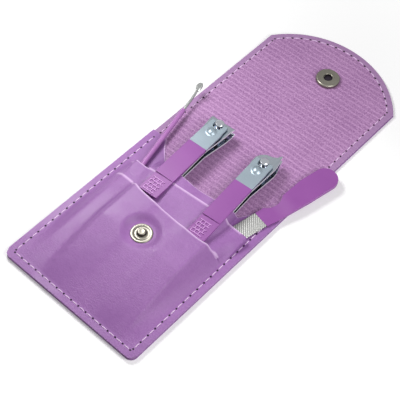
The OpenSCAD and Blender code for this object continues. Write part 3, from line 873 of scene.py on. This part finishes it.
@dataclass
class Cover(Assembly):
    """The open leather case with its lining: a back piece and a flap piece that meet in the spine."""

    skin: Ply = Ply("leather", "skin", "outer_leather", SKIN_T, SKIN_T, 0.0, 6.3)
    lining: Ply = Ply("ribbed_lining", "lining", "lining", LEATHER_Z, LINING_T, 0.3, 0.0)
    rim: float = 0.28
    cell: float = 4.0
    fold_cell: float = 0.4
    fold_rows: int = 7
    corner_steps: int = 6
    arc_steps: int = 28

    def back_sheet(self, ply: Ply) -> Shape:
        """Models the sheet from the bottom edge to the middle of the spine.

        Args:
            ply: Its layer.

        Returns:
            The mesh.
        """
        shape = Shape()
        w = HALF_W - ply.inset
        face = shape.outline(mirrored([(w, ply.inset), (w, MID_SPINE)]), ply.top)
        corners = [v for v in face.verts if v.co.y < FOLD_Y]
        shape.bevel(corners, CORNER_R - ply.inset, self.corner_steps, "VERTICES")
        return self.finish_sheet(shape, ply, 0, MID_SPINE, FOLD_Y)

    def flap_sheet(self, ply: Ply) -> Shape:
        """Models the sheet from the middle of the spine to the flap's arc.

        Args:
            ply: Its layer.

        Returns:
            The mesh.
        """
        shape = Shape()
        w = HALF_W - ply.inset
        radius = ARC_R - ply.inset
        half_angle = math.asin(w / radius)
        right = (w, ARC_Y + radius * math.cos(half_angle), ply.top)
        end = shape.arc(right, (0, ARC_Y, ply.top), math.degrees(2 * half_angle), self.arc_steps)
        shape.close(end, shape.run([(-w, MID_SPINE, ply.top), (w, MID_SPINE, ply.top)]))
        if ply.hole_r:
            shape.bore((SNAP_X, SOCKET_Y, ply.top), ply.hole_r)
        return self.finish_sheet(shape, ply, MID_SPINE, END_Y, FLAP_Y)

    def finish_sheet(self, shape: Shape, ply: Ply, low: float, high: float, fold: float) -> Shape:
        """Divides a flat sheet, finely near its fold, gives it its thickness and rounds its rim.

        Args:
            shape: The flat sheet.
            ply: Its layer.
            low, high: Where it starts and ends along the case.
            fold: Where it folds.

        Returns:
            The same mesh.
        """
        reach = self.fold_rows * self.fold_cell
        fine = [fold + k * self.fold_cell for k in range(-self.fold_rows, self.fold_rows + 1)]
        coarse = [k * self.cell for k in range(1, int(END_Y / self.cell) + 1)]
        shape.slice(1, [y for y in coarse if low < y < high and abs(y - fold) > reach] + fine)
        columns = int(HALF_W / self.cell)
        shape.slice(0, [k * self.cell for k in range(1 - columns, columns)])
        shape.thicken(ply.thickness)
        shape.soften(
            min(self.rim, ply.thickness * 0.4),
            keep=lambda e: any(abs(v.co.y - MID_SPINE) > 0.01 for v in e.verts)
            and math.dist(e.verts[0].co.xy, (SNAP_X, SOCKET_Y)) > self.skin.hole_r + 1,
        )
        return shape

    def build(self) -> None:
        """Builds the leather and the lining, each as a back piece and a flap piece."""
        for ply in (self.skin, self.lining):
            for half, shape, first, second, fold in (
                ("back", self.back_sheet(ply), "case", "spine", FOLD_Y),
                ("flap", self.flap_sheet(ply), "spine", "flap", FLAP_Y),
            ):
                nodes = [f"{half}_{ply.node}", f"spine_{ply.node}"]
                piece = shape.settle(f"{half}_{ply.piece}", self.finishes[ply.slot], None, ply.slot, nodes)
                bend(piece)
                self.declare(piece, [] if ply is self.skin else [f"{half}_{self.skin.piece}"])

    def declare(self, piece: Piece, lies_on: list[str]) -> None:
        """Takes a piece of the cover and does nothing with it.

        Args:
            piece: The leather or lining piece; not used.
            lies_on: The piece below it, if any; not used.
        """


@dataclass(frozen=True)
class ClipperPlace:
    """Where a clipper stands in the pocket."""

    name: str
    post_x: float
    post_y: float
    tilt: float
    lever_w: float
    slit_y: float
    jaw_len: float = 59.0

    def matrix(self) -> Matrix:
        """Gives the turn and place of the clipper's own frame, whose origin is its tail."""
        place = Matrix.Translation((self.post_x, self.post_y, 0))
        return place @ turned(self.tilt, "Z") @ Matrix.Translation((0, -self.jaw_len, 0))

    def x_at(self, y: float) -> float:
        """Gives the X of the clipper's middle at a place along the case."""
        return self.post_x + (self.post_y - y) * math.sin(math.radians(self.tilt))


STRAIGHT = ClipperPlace("straight", -14.3, 117.0, 2.7, 10.4, 62.0)
POINTED = ClipperPlace("pointed", 16.4, 114.2, 4.1, 9.9, 60.0)


@dataclass
class PocketPanel(Assembly):
    """The front leather of the pocket, with its slits, lips and mouth."""

    seam_w: float = 3.75
    side_run: float = 0.35
    seam_foot: float = 4.0
    lip_z: float = 12.10
    band_low_z: float = 7.94
    band_high_z: float = 9.50
    mouth_y: float = 82.4
    slit_left: float = -22.9
    slit_right: float = 31.0
    flat_y: float = 42.5
    slit_y: float = 61.5
    slit_fall: float = 0.055
    slit_curl: float = 2.6
    short_left_y: float = 75.8
    short_right_y: float = 79.0
    short_run: float = 40.0
    swell: float = 0.25
    lean: float = 1.4
    seat_r: float = 5.65
    seat_blend: float = 4.5
    jaw_room: float = 5.2
    lever_room: float = 1.0
    rim: float = 0.22
    columns: int = 96
    lower_rows: int = 60
    band_rows: int = 14

    def __post_init__(self) -> None:
        """Works out the heights across the pocket at each lip and band."""
        straight, pointed = (place.x_at(place.slit_y) for place in (STRAIGHT, POINTED))
        jaws_left, jaws_right = (place.x_at(self.mouth_y) for place in (STRAIGHT, POINTED))
        s_half, p_half = (place.lever_w / 2 + self.lever_room for place in (STRAIGHT, POINTED))
        lip, low, high, room = self.lip_z, self.band_low_z, self.band_high_z, self.jaw_room
        self.slit_mid = (self.slit_left + self.slit_right) / 2
        self.side_in = HALF_W - self.seam_w
        self.side_edge = self.side_in - self.side_run
        band_edge = jaws_right + room - 0.5
        band_foot = FILE_X - FILE_W / 2 - 1.9
        left = [(-self.side_in, SEAM_Z), (-29, 6.7), (self.slit_left, 7.2)]
        right = [(self.slit_right, 6.5), (self.side_in, SEAM_Z)]
        rise = [(jaws_left - room - 0.5, high - 0.1), (band_edge, high - 0.1)]
        self.lip = Profile([
            *left, (straight - s_half, lip), (straight + s_half, lip), (straight + s_half + 6, lip - 0.6),
            (pointed - p_half - 5, lip - 0.6), (pointed - p_half, lip), (pointed + p_half + 1, lip), *right,
        ])
        self.band = Profile([
            *left, (straight - room, low), (straight + room, low), (self.slit_mid, low - 0.6),
            (pointed - room, low), (pointed + room, low), *right,
        ])
        self.short_lip = Profile([
            (-self.side_in, SEAM_Z), (PICK_X - 3.6, 5.0), (PICK_X - 2.2, 7.9), (PICK_X + 3.4, 7.9), *rise,
            (band_foot + 0.9, 6.6), (self.side_edge, 5.9), (self.side_in, SEAM_Z),
        ])
        self.short_band = Profile([
            (-HALF_W, SEAM_Z), (PICK_X + 3.4, SEAM_Z), (PICK_X + 5.4, high - 1), *rise,
            (band_foot, SEAM_Z), (HALF_W, SEAM_Z),
        ])
        self.mouth = Profile([
            (-HALF_W, SEAM_Z), (jaws_left - room - 3, SEAM_Z), (jaws_left - room - 0.2, high),
            (jaws_left + room, high), (self.slit_mid, high - 0.9), (jaws_right - room, high),
            (band_edge, high), (band_foot, SEAM_Z), (HALF_W, SEAM_Z),
        ])
        self.mouth_line = Profile([
            (-HALF_W, SIDE_TOP_Y), (-31.5, SIDE_TOP_Y), (-29, 94.6), (-24.8, 90), (-21, 86.6), (-18, 84.4),
            (-13, 82.9), (0, self.mouth_y), (12, 82.8), (20, 83.1), (band_edge, 83.9), (band_foot, 86.6),
            (28, 92.3), (30.5, 95.8), (33, SIDE_TOP_Y), (HALF_W, SIDE_TOP_Y),
        ])

    def bottom_y(self, x: float) -> float:
        """Gives the case's bottom edge, which rises round its corners."""
        over = max(0.0, abs(x) - (HALF_W - CORNER_R))
        return CORNER_R - math.sqrt(max(0.0, CORNER_R**2 - over**2))

    def long_slit_y(self, x: float) -> float:
        """Gives the line of the long slit, with its ends turned up."""
        reach = min(1.0, abs(x - self.slit_mid) / (self.slit_right - self.slit_mid))
        return self.slit_y - self.slit_fall * x + self.slit_curl * reach**6

    def short_slit_y(self, x: float) -> float:
        """Gives the line that holds both short slits."""
        share = min(1.0, max(0.0, x / self.short_run + 0.5))
        return mix(self.short_left_y, self.short_right_y, share)

    def lower_z(self, x: float, y: float) -> float:
        """Gives the height of the panel below the long slit.

        Args:
            x, y: The place on the panel.

        Returns:
            The height, with the snap's flat seat in it.
        """
        if abs(x) >= self.side_in:
            return SEAM_Z
        t = min(1.0, max(0.0, (y - self.seam_foot) / (self.flat_y - self.seam_foot)))
        fall = max(0.0, self.long_slit_y(x) - y) * math.sin(math.radians(self.lean))
        under = fall / (self.lip_z - SEAM_Z)
        z = SEAM_Z + (self.lip(x) - SEAM_Z) * (1 - under) * t * (1 + self.swell * (1 - t))
        away = math.hypot(x - SNAP_X, y - STUD_Y)
        return mix(z, STUD_Z, smooth(1 - (away - self.seat_r) / self.seat_blend))

    def column_x(self, place: float) -> float:
        """Spreads the columns, with one at the top and one at the foot of each side.

        Args:
            place: From -1 to 1 across the panel.

        Returns:
            The X of the column.
        """
        step = 2 / self.columns
        foot = 1 - 3 * step
        top = foot - step
        reach = abs(place)
        if reach <= top + step / 4:
            return place / top * self.side_edge
        if reach <= foot + step / 4:
            return math.copysign(self.side_in, place)
        return math.copysign(mix(self.side_in, HALF_W, (reach - foot) / (1 - foot)), place)

    def patch(
        self, shape: Shape, rows: int, low: Callable[[float], float], high: Callable[[float], float],
        height: Callable[[float, float, float], float],
    ) -> None:
        """Adds a stretch of the panel between two lines across it.

        Args:
            shape: The mesh that takes it.
            rows: How many faces it has along Y.
            low, high: The lines, as Y for each X.
            height: Height for each X, Y and share of the way up.
        """
        made = bmesh.ops.create_grid(shape.bm, x_segments=self.columns, y_segments=rows, size=1)
        for vert in made["verts"]:
            x = self.column_x(vert.co.x)
            share = vert.co.y / 2 + 0.5
            y = mix(low(x), high(x), share)
            vert.co = (x, y, height(x, y, share))

    def build(self) -> None:
        """Builds the panel from its three stretches, with a pale painted highlight along the cut edges at
        the slits and the mouth.
        """
        shape = Shape()
        for rows, low, high, height in (
            (self.lower_rows, self.bottom_y, self.long_slit_y, lambda x, y, t: self.lower_z(x, y)),
            (self.band_rows, self.long_slit_y, self.short_slit_y,
             lambda x, y, t: mix(self.band(x), self.short_lip(x), smooth(t))),
            (self.band_rows, self.short_slit_y, self.mouth_line,
             lambda x, y, t: mix(self.short_band(x), self.mouth(x), smooth(t))),
        ):
            self.patch(shape, rows, low, high, height)
        bmesh.ops.remove_doubles(shape.bm, verts=shape.bm.verts[:], dist=0.03)
        shape.thicken(PANEL_T)
        shape.soften(self.rim, 55)
        lines = (self.long_slit_y, self.short_slit_y, self.mouth_line)
        # Marks the cut edges for a pale painted highlight.
        shape.mark("painted_lip_highlight", lambda co: abs(co.x) < HALF_W - 7
                   and min(abs(co.y - line(co.x)) for line in lines) < 0.3)
        shape.settle("pocket_panel", self.finishes["panel_leather"], "case", "panel_leather",
                     ["front_panel"], sharp=60)


@dataclass
class Stitching(Assembly):
    """The row of stitches round the case, with the needle holes between them as flat dark discs of painted
    shade.
    """

    inset: float = 3.4
    pitch: float = 4.5
    length: float = 3.4
    width: float = 0.58
    height: float = 0.40
    hole: float = 0.55
    hole_h: float = 0.05
    rise: float = 0.12
    dive: float = 0.26
    margin: float = 1.65
    arc_gap: float = 1.5

    def sides(self, low: float, high: float, z: float) -> list[Stitch]:
        """Lays stitches along both sides of the case.

        Args:
            low, high: The places along the case between which they lie.
            z: Height of the leather.

        Returns:
            X, Y, Z and turn of each stitch, as the other rows give them too.
        """
        side = HALF_W - self.inset
        places = [k * self.pitch + self.inset - 1 for k in range(1, int(END_Y / self.pitch))]
        inside = [y for y in places if low + self.margin < y < high - self.margin]
        return [(x, y, z, 0.0) for x in (-side, side) for y in inside]

    def bottom(self) -> list[Stitch]:
        """Lays stitches along the bottom edge."""
        count = int((2 * (HALF_W - self.inset) - 2) / self.pitch)
        return [((k - count / 2) * self.pitch, self.inset, SEAM_Z, 90.0) for k in range(count + 1)]

    def arc(self) -> list[Stitch]:
        """Lays stitches along the flap's arc.

        Returns:
            The stitches.
        """
        radius = ARC_R - self.inset
        half_angle = math.asin((HALF_W - self.inset - self.arc_gap) / radius)
        count = int(2 * half_angle * radius / self.pitch)
        angles = [(k - count / 2) * 2 * half_angle / count for k in range(count + 1)]
        return [
            (-radius * math.sin(a), ARC_Y + radius * math.cos(a), LEATHER_Z, 90 + math.degrees(a))
            for a in angles
        ]

    def row(self, places: Iterable[Stitch]) -> tuple[Shape, Shape]:
        """Models a row of stitches, each with the two holes that it dives into.

        Args:
            places: The stitches.

        Returns:
            The mesh of the threads and the mesh of the holes.
        """
        threads, holes = Shape(), Shape()
        for x, y, z, turn in places:
            place = Matrix.Translation((x, y, z)) @ turned(turn, "Z")
            size = (self.width / 2, self.length / 2, self.height / 2)
            verts = threads.ball(size, Matrix.Identity(4), 2)
            for vert in verts:
                vert.co.z += self.rise - self.dive * (2 * vert.co.y / self.length) ** 2
            bmesh.ops.transform(threads.bm, matrix=place, verts=verts)
            # Each needle hole is a flat dark disc of painted shade.
            for end in (-0.5, 0.5):
                spot = place @ Matrix.Translation((0, end * self.pitch, 0))
                holes.ball((self.hole, self.hole, self.hole_h), spot, 1)
        return threads, holes

    def build(self) -> None:
        """Builds the stitches of the pocket, the spine and the flap, and sets the spine's stitches on the
        spine body.
        """
        thread, hole = (self.finishes[kind] for kind in ("thread", "needle_hole"))
        above_panel = self.sides(SIDE_TOP_Y, FOLD_Y, LEATHER_Z)
        pocket = [*self.sides(self.inset, SIDE_TOP_Y, SEAM_Z), *above_panel, *self.bottom()]
        flap = [*self.sides(FLAP_Y, END_Y - FLAP_ARC - 1, LEATHER_Z), *self.arc()]
        for name, places, move in (
            ("pocket", pocket, lambda piece: bend(piece)),
            ("spine", self.sides(FOLD_Y, FLAP_Y, LEATHER_Z), lambda piece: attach(piece, "spine")),
            ("flap", flap, lambda piece: bend(piece)),
        ):
            threads, holes = self.row(places)
            move(threads.settle(f"{name}_thread", thread, None, "thread", [f"{name}_stitching"]))
            move(holes.settle(f"{name}_needle_holes", hole, None, "thread"))


@dataclass
class Snap(Assembly):
    """The snap's stud on the pocket and its socket on the flap."""

    stud_d: float = 10.5
    stud_t: float = 0.5
    post_d: float = 3.9
    post_h: float = 1.5
    socket_d: float = 12.4
    socket_h: float = 2.1
    hole_d: float = 4.5
    rivet_d: float = 2.8
    washer_t: float = 0.4

    def turn(
        self, name: str, kind: str, profile: Sequence[Point], foot: Triple, steps: int = 64,
        replaces: Sequence[str] = (),
    ) -> None:
        """Turns one round piece, on the pocket or on the flap.

        Args:
            name: The piece's name.
            kind: Its finish.
            profile: Radius and height of each point.
            foot: Where it stands.
            steps: How many faces go round.
            replaces: The node that it stands for, if any.
        """
        body = "case" if foot[1] == STUD_Y else "flap"
        shape = Shape().lathe(profile, steps)
        shape.settle(name, self.finishes[kind], body, "snap_metal", replaces, Matrix.Translation(foot), 50)

    def stud(self) -> None:
        """Builds the stud with its flared base, its round post and the waist below its head, which is
        painted dark as shade.
        """
        base, post, t, top = self.stud_d / 2, self.post_d / 2, self.stud_t, self.stud_t + self.post_h
        rivet, low = self.rivet_d / 2, -PANEL_T - self.washer_t
        foot = (SNAP_X, STUD_Y, STUD_Z)
        self.turn("snap_stud_turned", "snap", [
            (0, low), (rivet, low), (rivet, 0.02), (base - 0.35, 0.02), (base - 0.06, 0.1), (base, 0.26),
            (base - 0.1, 0.42), (base - 0.4, t), (base - 1.0, t), (base - 1.35, t - 0.08),
            (base - 1.7, t - 0.3), (post + 0.9, t - 0.3), (post + 0.55, t - 0.16), (post + 0.1, t),
            (post - 0.22, t + 0.12), (post - 0.3, t + 0.35), (post - 0.3, top - 0.9),
            (post - 0.18, top - 0.72), (post, top - 0.55), (post, top - 0.35), (post - 0.12, top - 0.16),
            (post - 0.4, top - 0.03), (post - 0.7, top), (post - 1.0, top - 0.06), (0, top - 0.12),
        ], foot, replaces=["snap_stud"])
        # The waist below the post's head is painted dark as shade.
        self.turn("snap_stud_waist", "painted_waist_shade", [
            (post - 0.4, t - 0.05), (post + 0.35, t - 0.05), (post + 0.3, t + 0.06), (post - 0.1, t + 0.2),
            (post - 0.24, t + 0.4), (post - 0.24, top - 0.86), (post - 0.12, top - 0.7),
            (post - 0.4, top - 0.7), (post - 0.4, t - 0.05),
        ], foot, 48)

    def socket(self) -> None:
        """Builds the hollow socket and the floor of its hole, painted dark as shade."""
        rim, hole, rivet, top = self.socket_d / 2, self.hole_d / 2, self.rivet_d / 2 + 0.02, self.socket_h
        foot = (SNAP_X, SOCKET_Y, LEATHER_Z)
        self.turn("snap_socket_turned", "snap", [
            (hole + 0.8, 0.45), (hole + 0.8, 1.3), (hole, 1.3), (hole, top - 0.35),
            (hole + 0.06, top - 0.16), (hole + 0.2, top - 0.04), (hole + 0.42, top),
            (hole + 1.1, top - 0.05), (hole + 1.5, top - 0.09), (rim - 1.3, top - 0.04),
            (rim - 0.95, top - 0.01), (rim - 0.6, top - 0.1), (rim - 0.28, top - 0.3),
            (rim - 0.08, top - 0.6), (rim, top - 0.95), (rim, 0.55), (rim - 0.1, 0.25), (rim - 0.35, 0.06),
            (rim - 0.6, 0.0), (rivet, 0.0), (rivet, 0.45), (hole + 0.8, 0.45),
        ], foot, replaces=["snap_socket"])
        # The socket's floor is a dark disc of painted shade.
        floor = hole + 0.72
        self.turn("snap_socket_floor", "needle_hole", [(0, 0.46), (floor, 0.46), (floor, 0.5), (0, 0.5)],
                  foot, 32)

    def cap(self) -> None:
        """Builds the cap on the outside of the flap, with its tube through the leather."""
        rim, tube, end = self.socket_d / 2, self.rivet_d / 2, LEATHER_Z + 0.4
        self.turn("snap_cap_turned", "snap", [
            (0, 0.0), (rim - 1.2, 0.02), (rim - 0.4, 0.05), (rim - 0.1, 0.14), (rim, 0.26),
            (rim - 0.05, self.washer_t), (tube, self.washer_t), (tube, end), (0, end),
        ], (SNAP_X, SOCKET_Y, 0), replaces=["snap_cap"])

    def build(self) -> None:
        """Builds the stud, the socket and the cap, and dresses the washer and the wires."""
        self.stud()
        self.socket()
        self.cap()
        self.dress("snap_stud_back", "snap", 0.1)
        self.dress("snap_spring", "snap", 0.05)


@dataclass
class Clipper(Assembly):
    """One nail clipper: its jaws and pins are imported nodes, and its lever and grip are modelled here."""

    place: ClipperPlace
    pivot_z: float = 10.71
    lever_dip: float = 0.6
    lever_len: float = 53.0
    lever_t: float = 1.1
    grip_wall: float = 0.15
    grip_len: float = 36.5
    pad_len: float = 12.5
    pad_sink: float = 0.5
    pad_margin: float = 1.2
    pad_end: float = 3.4
    pad_rows: int = 4
    pad_columns: int = 3
    bars_share: float = 0.62
    bars_shift: float = -0.12
    bar: float = 0.42
    bar_soft: float = 0.1
    head_d: float = 4.4
    ear_w: float = 2.4
    bump_y: float = -6.2
    bump_h: float = 1.1

    def lever(self) -> Shape:
        """Models the steel lever, a plate with a fork and with a pressed boss that blends into it.

        Returns:
            The mesh, with its origin at the cross pin.
        """
        w, slot, top, h = self.place.lever_w / 2, self.head_d / 2 + 0.2, self.lever_t / 2, self.bump_h
        ear = slot + self.ear_w
        tail = self.grip_len - self.lever_len - 1
        slot_end = -(self.head_d / 2 + 0.9)
        shape = Shape()
        shape.outline(mirrored([
            (w, tail), (w, -5.9), (w - 0.15, -5.0), (ear, -3.6), (ear, 0.35), (ear - 0.35, 0.7),
            (slot, 0.7), (slot, slot_end + 1.2), (slot - 0.35, slot_end + 0.35), (slot - 1.2, slot_end),
        ]), top)
        shape.thicken(self.lever_t)
        shape.soften(0.2)
        shape.lathe([
            (0, h), (0.45, h - 0.02), (0.9, h - 0.1), (1.35, h - 0.26), (1.75, h - 0.5), (2.05, h - 0.74),
            (2.3, 0.2), (2.5, 0.08), (2.75, 0.02), (3.0, 0.0), (3.0, -0.3), (0, -0.3),
        ], 40, (0, self.bump_y, top))
        return shape

    def grip(self) -> Shape:
        """Models the moulded grip: a flat part, a ridge, and a pad with staggered bars.

        Returns:
            The mesh, with its origin at the cross pin.
        """
        w = self.place.lever_w / 2
        top = self.lever_t / 2 + self.grip_wall
        start = -self.lever_len
        step = start + self.pad_len
        pad = top - self.pad_sink
        shape = Shape()
        shape.outline(mirrored([
            (w - 0.9, start), (w - 0.25, start + 0.25), (w, start + 0.9), (w, start + self.grip_len),
        ]), top)
        shape.slice(1, [step - 0.9, step - 0.25])
        shape.thicken(2 * top)
        for vert in shape.bm.verts:
            if vert.co.z > 0 and vert.co.y < step - 0.5:
                vert.co.z = pad
        shape.soften(0.22, 30)
        shape.block((2 * w - 0.1, 0.7, 0.5), (0, step - 0.35, top - 0.16), 0.16)
        wide, middle = 2 * w * self.bars_share, w * self.bars_shift
        pitch = (self.pad_len - self.pad_margin - self.pad_end) / self.pad_rows
        for row in range(self.pad_rows + 1):
            y = start + self.pad_margin + row * pitch
            shape.block((wide, self.bar, 0.44), (middle, y, pad + 0.1), self.bar_soft)
            for k in range(self.pad_columns if row < self.pad_rows else 0):
                x = middle - wide / 2 + (k + 0.5 * (row % 2)) * wide / self.pad_columns
                shape.block((self.bar, pitch, 0.4), (x, y + pitch / 2, pad + 0.08), self.bar_soft)
        # The bars' tops get a pale painted highlight.
        shape.mark("painted_rib_highlight", lambda co: pad + 0.2 < co.z < top - 0.05 and co.y < step - 2)
        return shape

    def build(self) -> None:
        """Dresses the jaws and pins, and builds the lever and the grip."""
        name = self.place.name
        for node in ("lower_jaw", "upper_jaw"):
            self.dress(f"{name}_{node}", "jaw", 0.14, 3)
        for node in ("tail_rivet", "post", "cross_pin"):
            self.dress(f"{name}_{node}", "pin", 0.08)
        pin = self.place.matrix() @ Matrix.Translation((0, self.place.jaw_len, self.pivot_z))
        stowed = pin @ turned(self.lever_dip, "X")
        for node, made, slot, shape, sharp in (
            ("lever", "pressed", "lever_steel", self.lever(), 30),
            ("grip", "moulded", "grip_plastic", self.grip(), 32),
        ):
            replaced = [f"{name}_{node}"]
            shape.settle(f"{name}_{node}_{made}", self.finishes[node], f"{name}_handle", slot, replaced,
                         stowed, sharp)


@dataclass
class NailFile(Assembly):
    """The nail file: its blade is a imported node, and its handle is modelled here."""

    file_y: float = 80.9
    tilt: float = -11.3
    start: float = 12.0
    handle_len: float = 45.2
    radius: float = 6.0
    low_z: float = 2.75
    neck_z: float = 3.36
    top_z: float = 4.75
    rise_start: float = 7.0
    rise_len: float = 12.0

    def build(self) -> None:
        """Builds the handle, a thin neck over the blade that swells into a flat round-ended grip."""
        self.dress("file_blade", "file", 0.08)
        shape = Shape()
        start, r, top, half = self.start, self.radius, self.top_z, FILE_W / 2
        tip_y = start + self.handle_len - r
        sides = [(-half, start), (half + 0.3, start), (r - 0.4, start + 12), (r, start + 24)]
        right = shape.run((x, y, top) for x, y in sides)
        tip = shape.arc((r, tip_y, top), (0, tip_y, top), 180, 32)
        left = shape.run([(-r, start + 29, top)])
        notch = shape.arc((-4.03, start + 16.2, top), (-9.8, start + 10.8, top), -90, 16)
        shape.close(right, tip, left, notch)
        foot = start + self.rise_start
        shape.slice(1, [foot + k for k in range(int(self.rise_len) + 1)])
        shape.thicken(top - self.low_z)
        for vert in shape.bm.verts:
            if vert.co.z > self.low_z + 0.5:
                vert.co.z = mix(self.neck_z, top, smooth((vert.co.y - foot) / self.rise_len))
        shape.soften(0.26, 50)
        place = Matrix.Translation((FILE_X, self.file_y, 0)) @ turned(self.tilt, "Z")
        shape.settle("file_handle_moulded", self.finishes["grip"], "file", "file_plastic",
                     ["file_handle"], place, 45)


@dataclass
class EarPick(Assembly):
    """The ear pick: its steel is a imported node, and its rod is modelled here."""

    slit_y: float = 76.4
    slit_z: float = 4.1
    tilt: float = 12.0
    pitch: float = 2.4
    rod_d: float = 2.5
    hidden: float = 19.5
    show: float = 40.0

    def build(self) -> None:
        """Builds the rod, which tapers to the steel."""
        self.dress("pick_shaft", "pick_steel", 0.05)
        r, low, high = self.rod_d / 2, -self.hidden, self.show
        shape = Shape().lathe([
            (0, low), (r - 0.5, low + 0.04), (r - 0.15, low + 0.25), (r, low + 0.7), (r, high - 4),
            (r - 0.06, high - 2), (r - 0.2, high - 0.5), (r - 0.4, high - 0.05), (0.72, high), (0, high),
        ], 32)
        slit = Matrix.Translation((PICK_X, self.slit_y, self.slit_z))
        place = slit @ turned(self.tilt, "Z") @ turned(self.pitch - 90, "X")
        shape.settle("pick_rod", self.finishes["pick"], "pick", "pick_plastic", ["pick_handle"], place, 45)


@dataclass(frozen=True)
class Studio:
    """The floor, the soft light and the camera."""

    azimuth: float = 39.37
    elevation: float = 54.37
    roll: float = 3.35
    distance: float = 481.0
    aim_right: float = 58.7
    aim_up: float = 47.0
    lens: float = 99.0
    sensor: float = 36.0
    even_light: float = 0.12
    gloss_light: float = 0.60
    floor_half: float = 1500.0
    glow_middle: float = 50.0
    glow_reach: float = 190.0
    glow_fade: float = 200.0

    def build(self) -> None:
        """Builds the studio."""
        self.camera()
        self.world()
        self.floor()
        self.lamp("key", (-0.12, 0.045, 0.185), 0.085, 0.385)
        self.lamp("fill", (0.22, 0.03, 0.22), 0.20, 0.60)
        bpy.context.scene.view_settings.view_transform = "Standard"
        log.info("studio: camera, floor and two lamps")

    def camera(self) -> None:
        """Places the camera at the photograph's viewing angle."""
        turn = turned(self.azimuth, "Z") @ turned(90 - self.elevation, "X") @ turned(self.roll, "Z")
        eye = POCKET_TO_ROW @ turn @ Vector((self.aim_right, self.aim_up, self.distance))
        data = bpy.data.cameras.new("camera")
        data.sensor_width = self.sensor
        data.lens = self.lens
        data.clip_start = 0.01
        camera = bpy.data.objects.new("camera", data)
        camera.matrix_world = Matrix.Translation(eye) @ turn
        bpy.context.scene.collection.objects.link(camera)
        bpy.context.scene.camera = camera

    def world(self) -> None:
        """Lights the scene evenly, and shows white to the camera and to shiny surfaces."""
        world = bpy.data.worlds.new("studio")
        bpy.context.scene.world = world
        world.use_nodes = True
        tree = Tree(world.node_tree)
        seen = tree.ray("Camera").at_least(tree.ray("Transmission"))
        shiny = tree.ray("Glossy") * self.gloss_light + self.even_light
        background = world.node_tree.nodes["Background"]
        tree.feed(background.inputs["Color"], (1, 1, 1, 1))
        tree.feed(background.inputs["Strength"], seen.at_least(shiny))

    def floor(self) -> None:
        """Lays a plain pale floor under the case, which fades to white far from it."""
        paint = Paint("floor_finish")
        away = (paint.axis("X") ** 2 + (paint.axis("Y") - self.glow_middle) ** 2) ** 0.5
        far = away.above(self.glow_reach, self.glow_fade) * paint.ray("Camera")
        paint.set(
            Base_Color=(0.93, 0.93, 0.93, 1), Roughness=0.9, Specular_IOR_Level=0.1,
            Emission_Color=paint.blend(far, (0.14, 0.14, 0.14, 1), (1, 1, 1, 1)), Emission_Strength=1.0,
        )
        shape = Shape()
        half = self.floor_half
        shape.outline(mirrored([(half, -half), (half, half)]), -0.02)
        shape.to_object("floor", paint.material)

    def lamp(self, name: str, place: Triple, size: float, power: float) -> None:
        """Hangs a soft square lamp that faces the case.

        Args:
            name: The lamp's name.
            place: Where it hangs, in metres.
            size: Its side.
            power: Its power in watts.
        """
        data = bpy.data.lights.new(name, "AREA")
        data.size = size
        data.energy = power
        lamp = bpy.data.objects.new(name, data)
        lamp.location = place
        lamp.rotation_euler = (-Vector(place)).to_track_quat("-Z", "Y").to_euler()
        bpy.context.scene.collection.objects.link(lamp)


def main() -> None:
    """Builds every piece."""
    logging.basicConfig(level=logging.INFO, format="%(name)s %(message)s")
    Studio().build()
    finishes = mix_finishes()
    Cover(finishes).build()
    PocketPanel(finishes).build()
    Stitching(finishes).build()
    Snap(finishes).build()
    Clipper(finishes, STRAIGHT).build()
    Clipper(finishes, POINTED).build()
    NailFile(finishes).build()
    EarPick(finishes).build()


if __name__ == "__main__":
    main()
